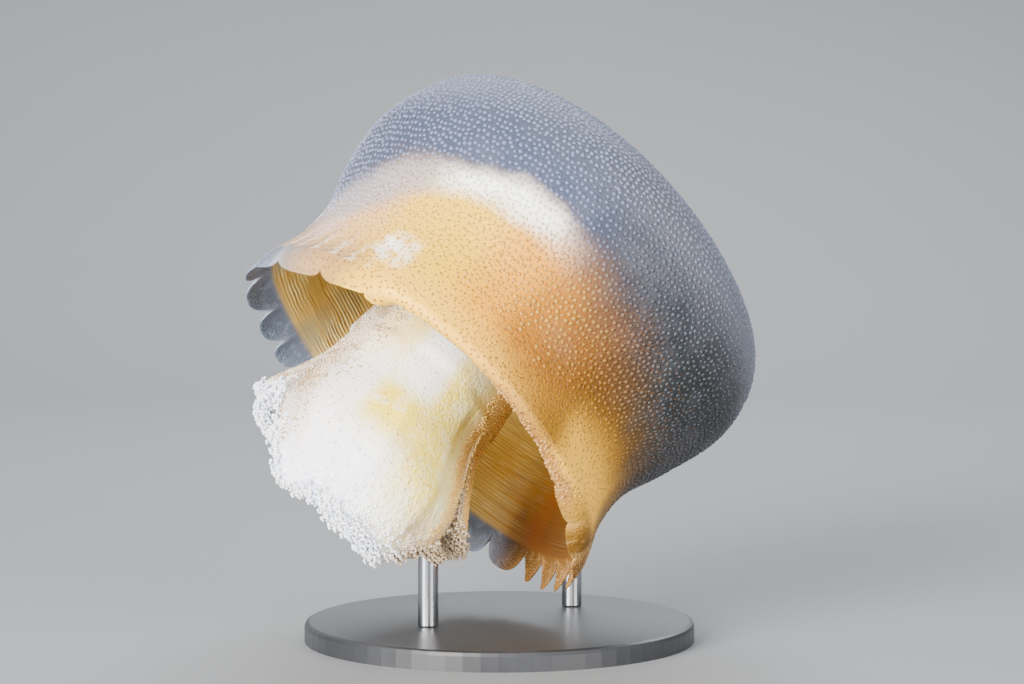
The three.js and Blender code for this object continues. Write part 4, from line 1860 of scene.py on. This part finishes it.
@dataclass
class Studio:
    """Floor, backdrop, lights and camera; the aim and distance are in millimetres."""

    aim: tuple[float, float, float] = (3.24, 2.45, 76.23)
    distance: float = 800.0
    elevation: float = 4.0
    lens: float = 109.86
    lamps: tuple[Lamp, ...] = (
        Lamp("key", (-0.55, -0.9, 0.42), 0.6, 30.0, (1.0, 0.985, 0.96)),
        Lamp("low", (-0.6, -0.75, 0.05), 0.45, 28.0, (1.0, 0.98, 0.95)),
        Lamp("fill", (0.75, -0.85, 0.08), 0.6, 20.0, (1.0, 0.98, 0.96)),
        Lamp("rim", (0.1, 0.7, 0.8), 0.9, 14.0, (0.92, 0.96, 1.0)),
    )
    room: tuple[float, float, float, float] = (0.9, 0.94, 1.0, 1.0)
    room_light: float = 0.66
    floor_ends: tuple[float, float] = (-3.0, 0.7)
    floor_half: float = 4.0
    bend: float = 0.6
    wall_top: float = 3.0
    paper: tuple[Tone, Tone] = ((132, 134, 136), (137, 138, 140))

    def build(self) -> None:
        """Sets the stage round the object."""
        self._sweep()
        self._world()
        for lamp in self.lamps:
            self._hang(lamp)
        self._camera()

    def _sweep(self) -> None:
        """Lays a pale floor that curves up into the backdrop."""
        front, back = self.floor_ends
        line = [(front, 0.0), (back, 0.0)]
        for turn in np.linspace(0, math.pi / 2, 13)[1:]:
            line.append((back + self.bend * math.sin(turn), self.bend - self.bend * math.cos(turn)))
        line.append((back + self.bend, self.wall_top))
        vertices = [(x, y, z) for y, z in line for x in (-self.floor_half, self.floor_half)]
        faces = [(2 * i, 2 * i + 1, 2 * i + 3, 2 * i + 2) for i in range(len(line) - 1)]
        mesh = bpy.data.meshes.new("floor")
        mesh.from_pydata(vertices, [], faces)
        mesh.polygons.foreach_set("use_smooth", np.ones(len(faces), bool))
        graph = Graph("floor_paper")
        colour = graph.mix(graph.noise(graph.place(), 3.0), *self.paper)
        mesh.materials.append(graph.surface(Base_Color=colour, Roughness=0.8))
        floor = bpy.data.objects.new("floor", mesh)
        bpy.context.collection.objects.link(floor)

    def _world(self) -> None:
        """Fills the room with soft light."""
        world = bpy.data.worlds.new("room")
        world.use_nodes = True
        back = world.node_tree.nodes["Background"]
        back.inputs["Color"].default_value = self.room
        back.inputs["Strength"].default_value = self.room_light
        bpy.context.scene.world = world

    def _hang(self, lamp: Lamp) -> None:
        """Hangs one lamp that faces the object.

        Args:
            lamp: The lamp.
        """
        data = bpy.data.lights.new(lamp.name, "AREA")
        data.shape = "DISK"
        data.size, data.energy, data.color = lamp.size, lamp.power, lamp.colour
        x, y, z = np.array(lamp.place) - np.array(self.aim) * MM
        turn = (math.atan2(math.hypot(x, y), z), 0.0, math.atan2(y, x) + math.pi / 2)
        self._stand(lamp.name, data, lamp.place, turn)

    @staticmethod
    def _stand(name: str, data: bpy.types.ID, place: tuple, turn: tuple) -> bpy.types.Object:
        """Places a lamp or the camera.

        Args:
            name: The object's name.
            data: Its data.
            place: Where it stands.
            turn: How it is turned, in radians.

        Returns:
            The object.
        """
        made = bpy.data.objects.new(name, data)
        made.location, made.rotation_euler = place, turn
        bpy.context.collection.objects.link(made)
        return made

    def _camera(self) -> None:
        """Places the camera."""
        data = bpy.data.cameras.new("camera")
        data.lens = self.lens
        data.sensor_width = 36.0
        data.clip_start = 0.05
        rise = math.radians(self.elevation)
        away = np.array([0.0, -math.cos(rise), math.sin(rise)]) * self.distance
        place = tuple((np.array(self.aim) + away) * MM)
        camera = self._stand("camera", data, place, (math.pi / 2 - rise, 0.0, 0.0))
        bpy.context.scene.camera = camera


# ---------------------------------------------------------------- the whole model


@dataclass
class Jellyfish:
    """The animal: its skin and all that stands on it."""

    skin: Skin = field(default_factory=Skin)

    def build(self, nodes: dict[str, bpy.types.Object]) -> None:
        """Makes every fleshy piece.

        Args:
            nodes: The model's nodes by name.
        """
        skin = self.skin.build(SkinFinish().material())
        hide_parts(*(name for name in nodes if not name.startswith("stand_")))
        self._settle(skin, Slot.WALL)
        warts, grains = WartFinish().material(), WartFinish(name="jelly_grains", lift=0.3).material()
        beads, specks = BeadFinish().material(), SpeckFinish().material()
        granules = BeadFinish(
            name="jelly_granules", warm_side=Ease("side", 0.52, 0.4), milk=(220, 202, 178),
            cool=(176, 148, 112), warm=(244, 190, 104),
        ).material()
        for strew in (
            Strew("warts_high", 1.28, (0.5, 0.7), warts, Slot.CROWN, 0.62, -0.1),
            Strew("warts_low", 1.32, (0.46, 0.66), warts, Slot.WALL, 0.62, -0.1, seed=7),
            Strew("grains", 1.15, (0.22, 0.32), grains, Slot.WALL, 0.7, -0.08, segments=6, seed=2),
            Strew("frill", 0.66, (0.3, 0.46), beads, Slot.ARMS, sunk=0.1, seed=3),
            Strew("sprigs", 1.0, (0.36, 0.46), beads, Slot.ARMS, sunk=-0.3, segments=6, cluster=8, seed=4),
            Strew("strands", 0.66, (0.26, 0.42), granules, Slot.TRUNK, segments=7, seed=5),
            Strew("specks", 0.7, (0.1, 0.2), specks, Slot.MARGIN, segments=6, seed=6),
        ):
            self._settle(strew.build(skin), strew.slot)

    @staticmethod
    def _settle(piece: bpy.types.Object, slot: Slot) -> None:
        """Ties a finished piece to the body.

        Args:
            piece: The piece.
            slot: Its material slot; not used.
        """
        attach(piece, "root")
        LOG.info("%s rides on the root", piece.name)


def main() -> None:
    """Builds the whole model in order."""
    logging.basicConfig(level=logging.INFO, format="%(name)s: %(message)s")
    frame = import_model()
    Jellyfish().build(frame["nodes"])
    Stand().dress(frame["nodes"])
    Studio().build()
    bpy.context.view_layer.update()


if __name__ == "__main__":
    main()
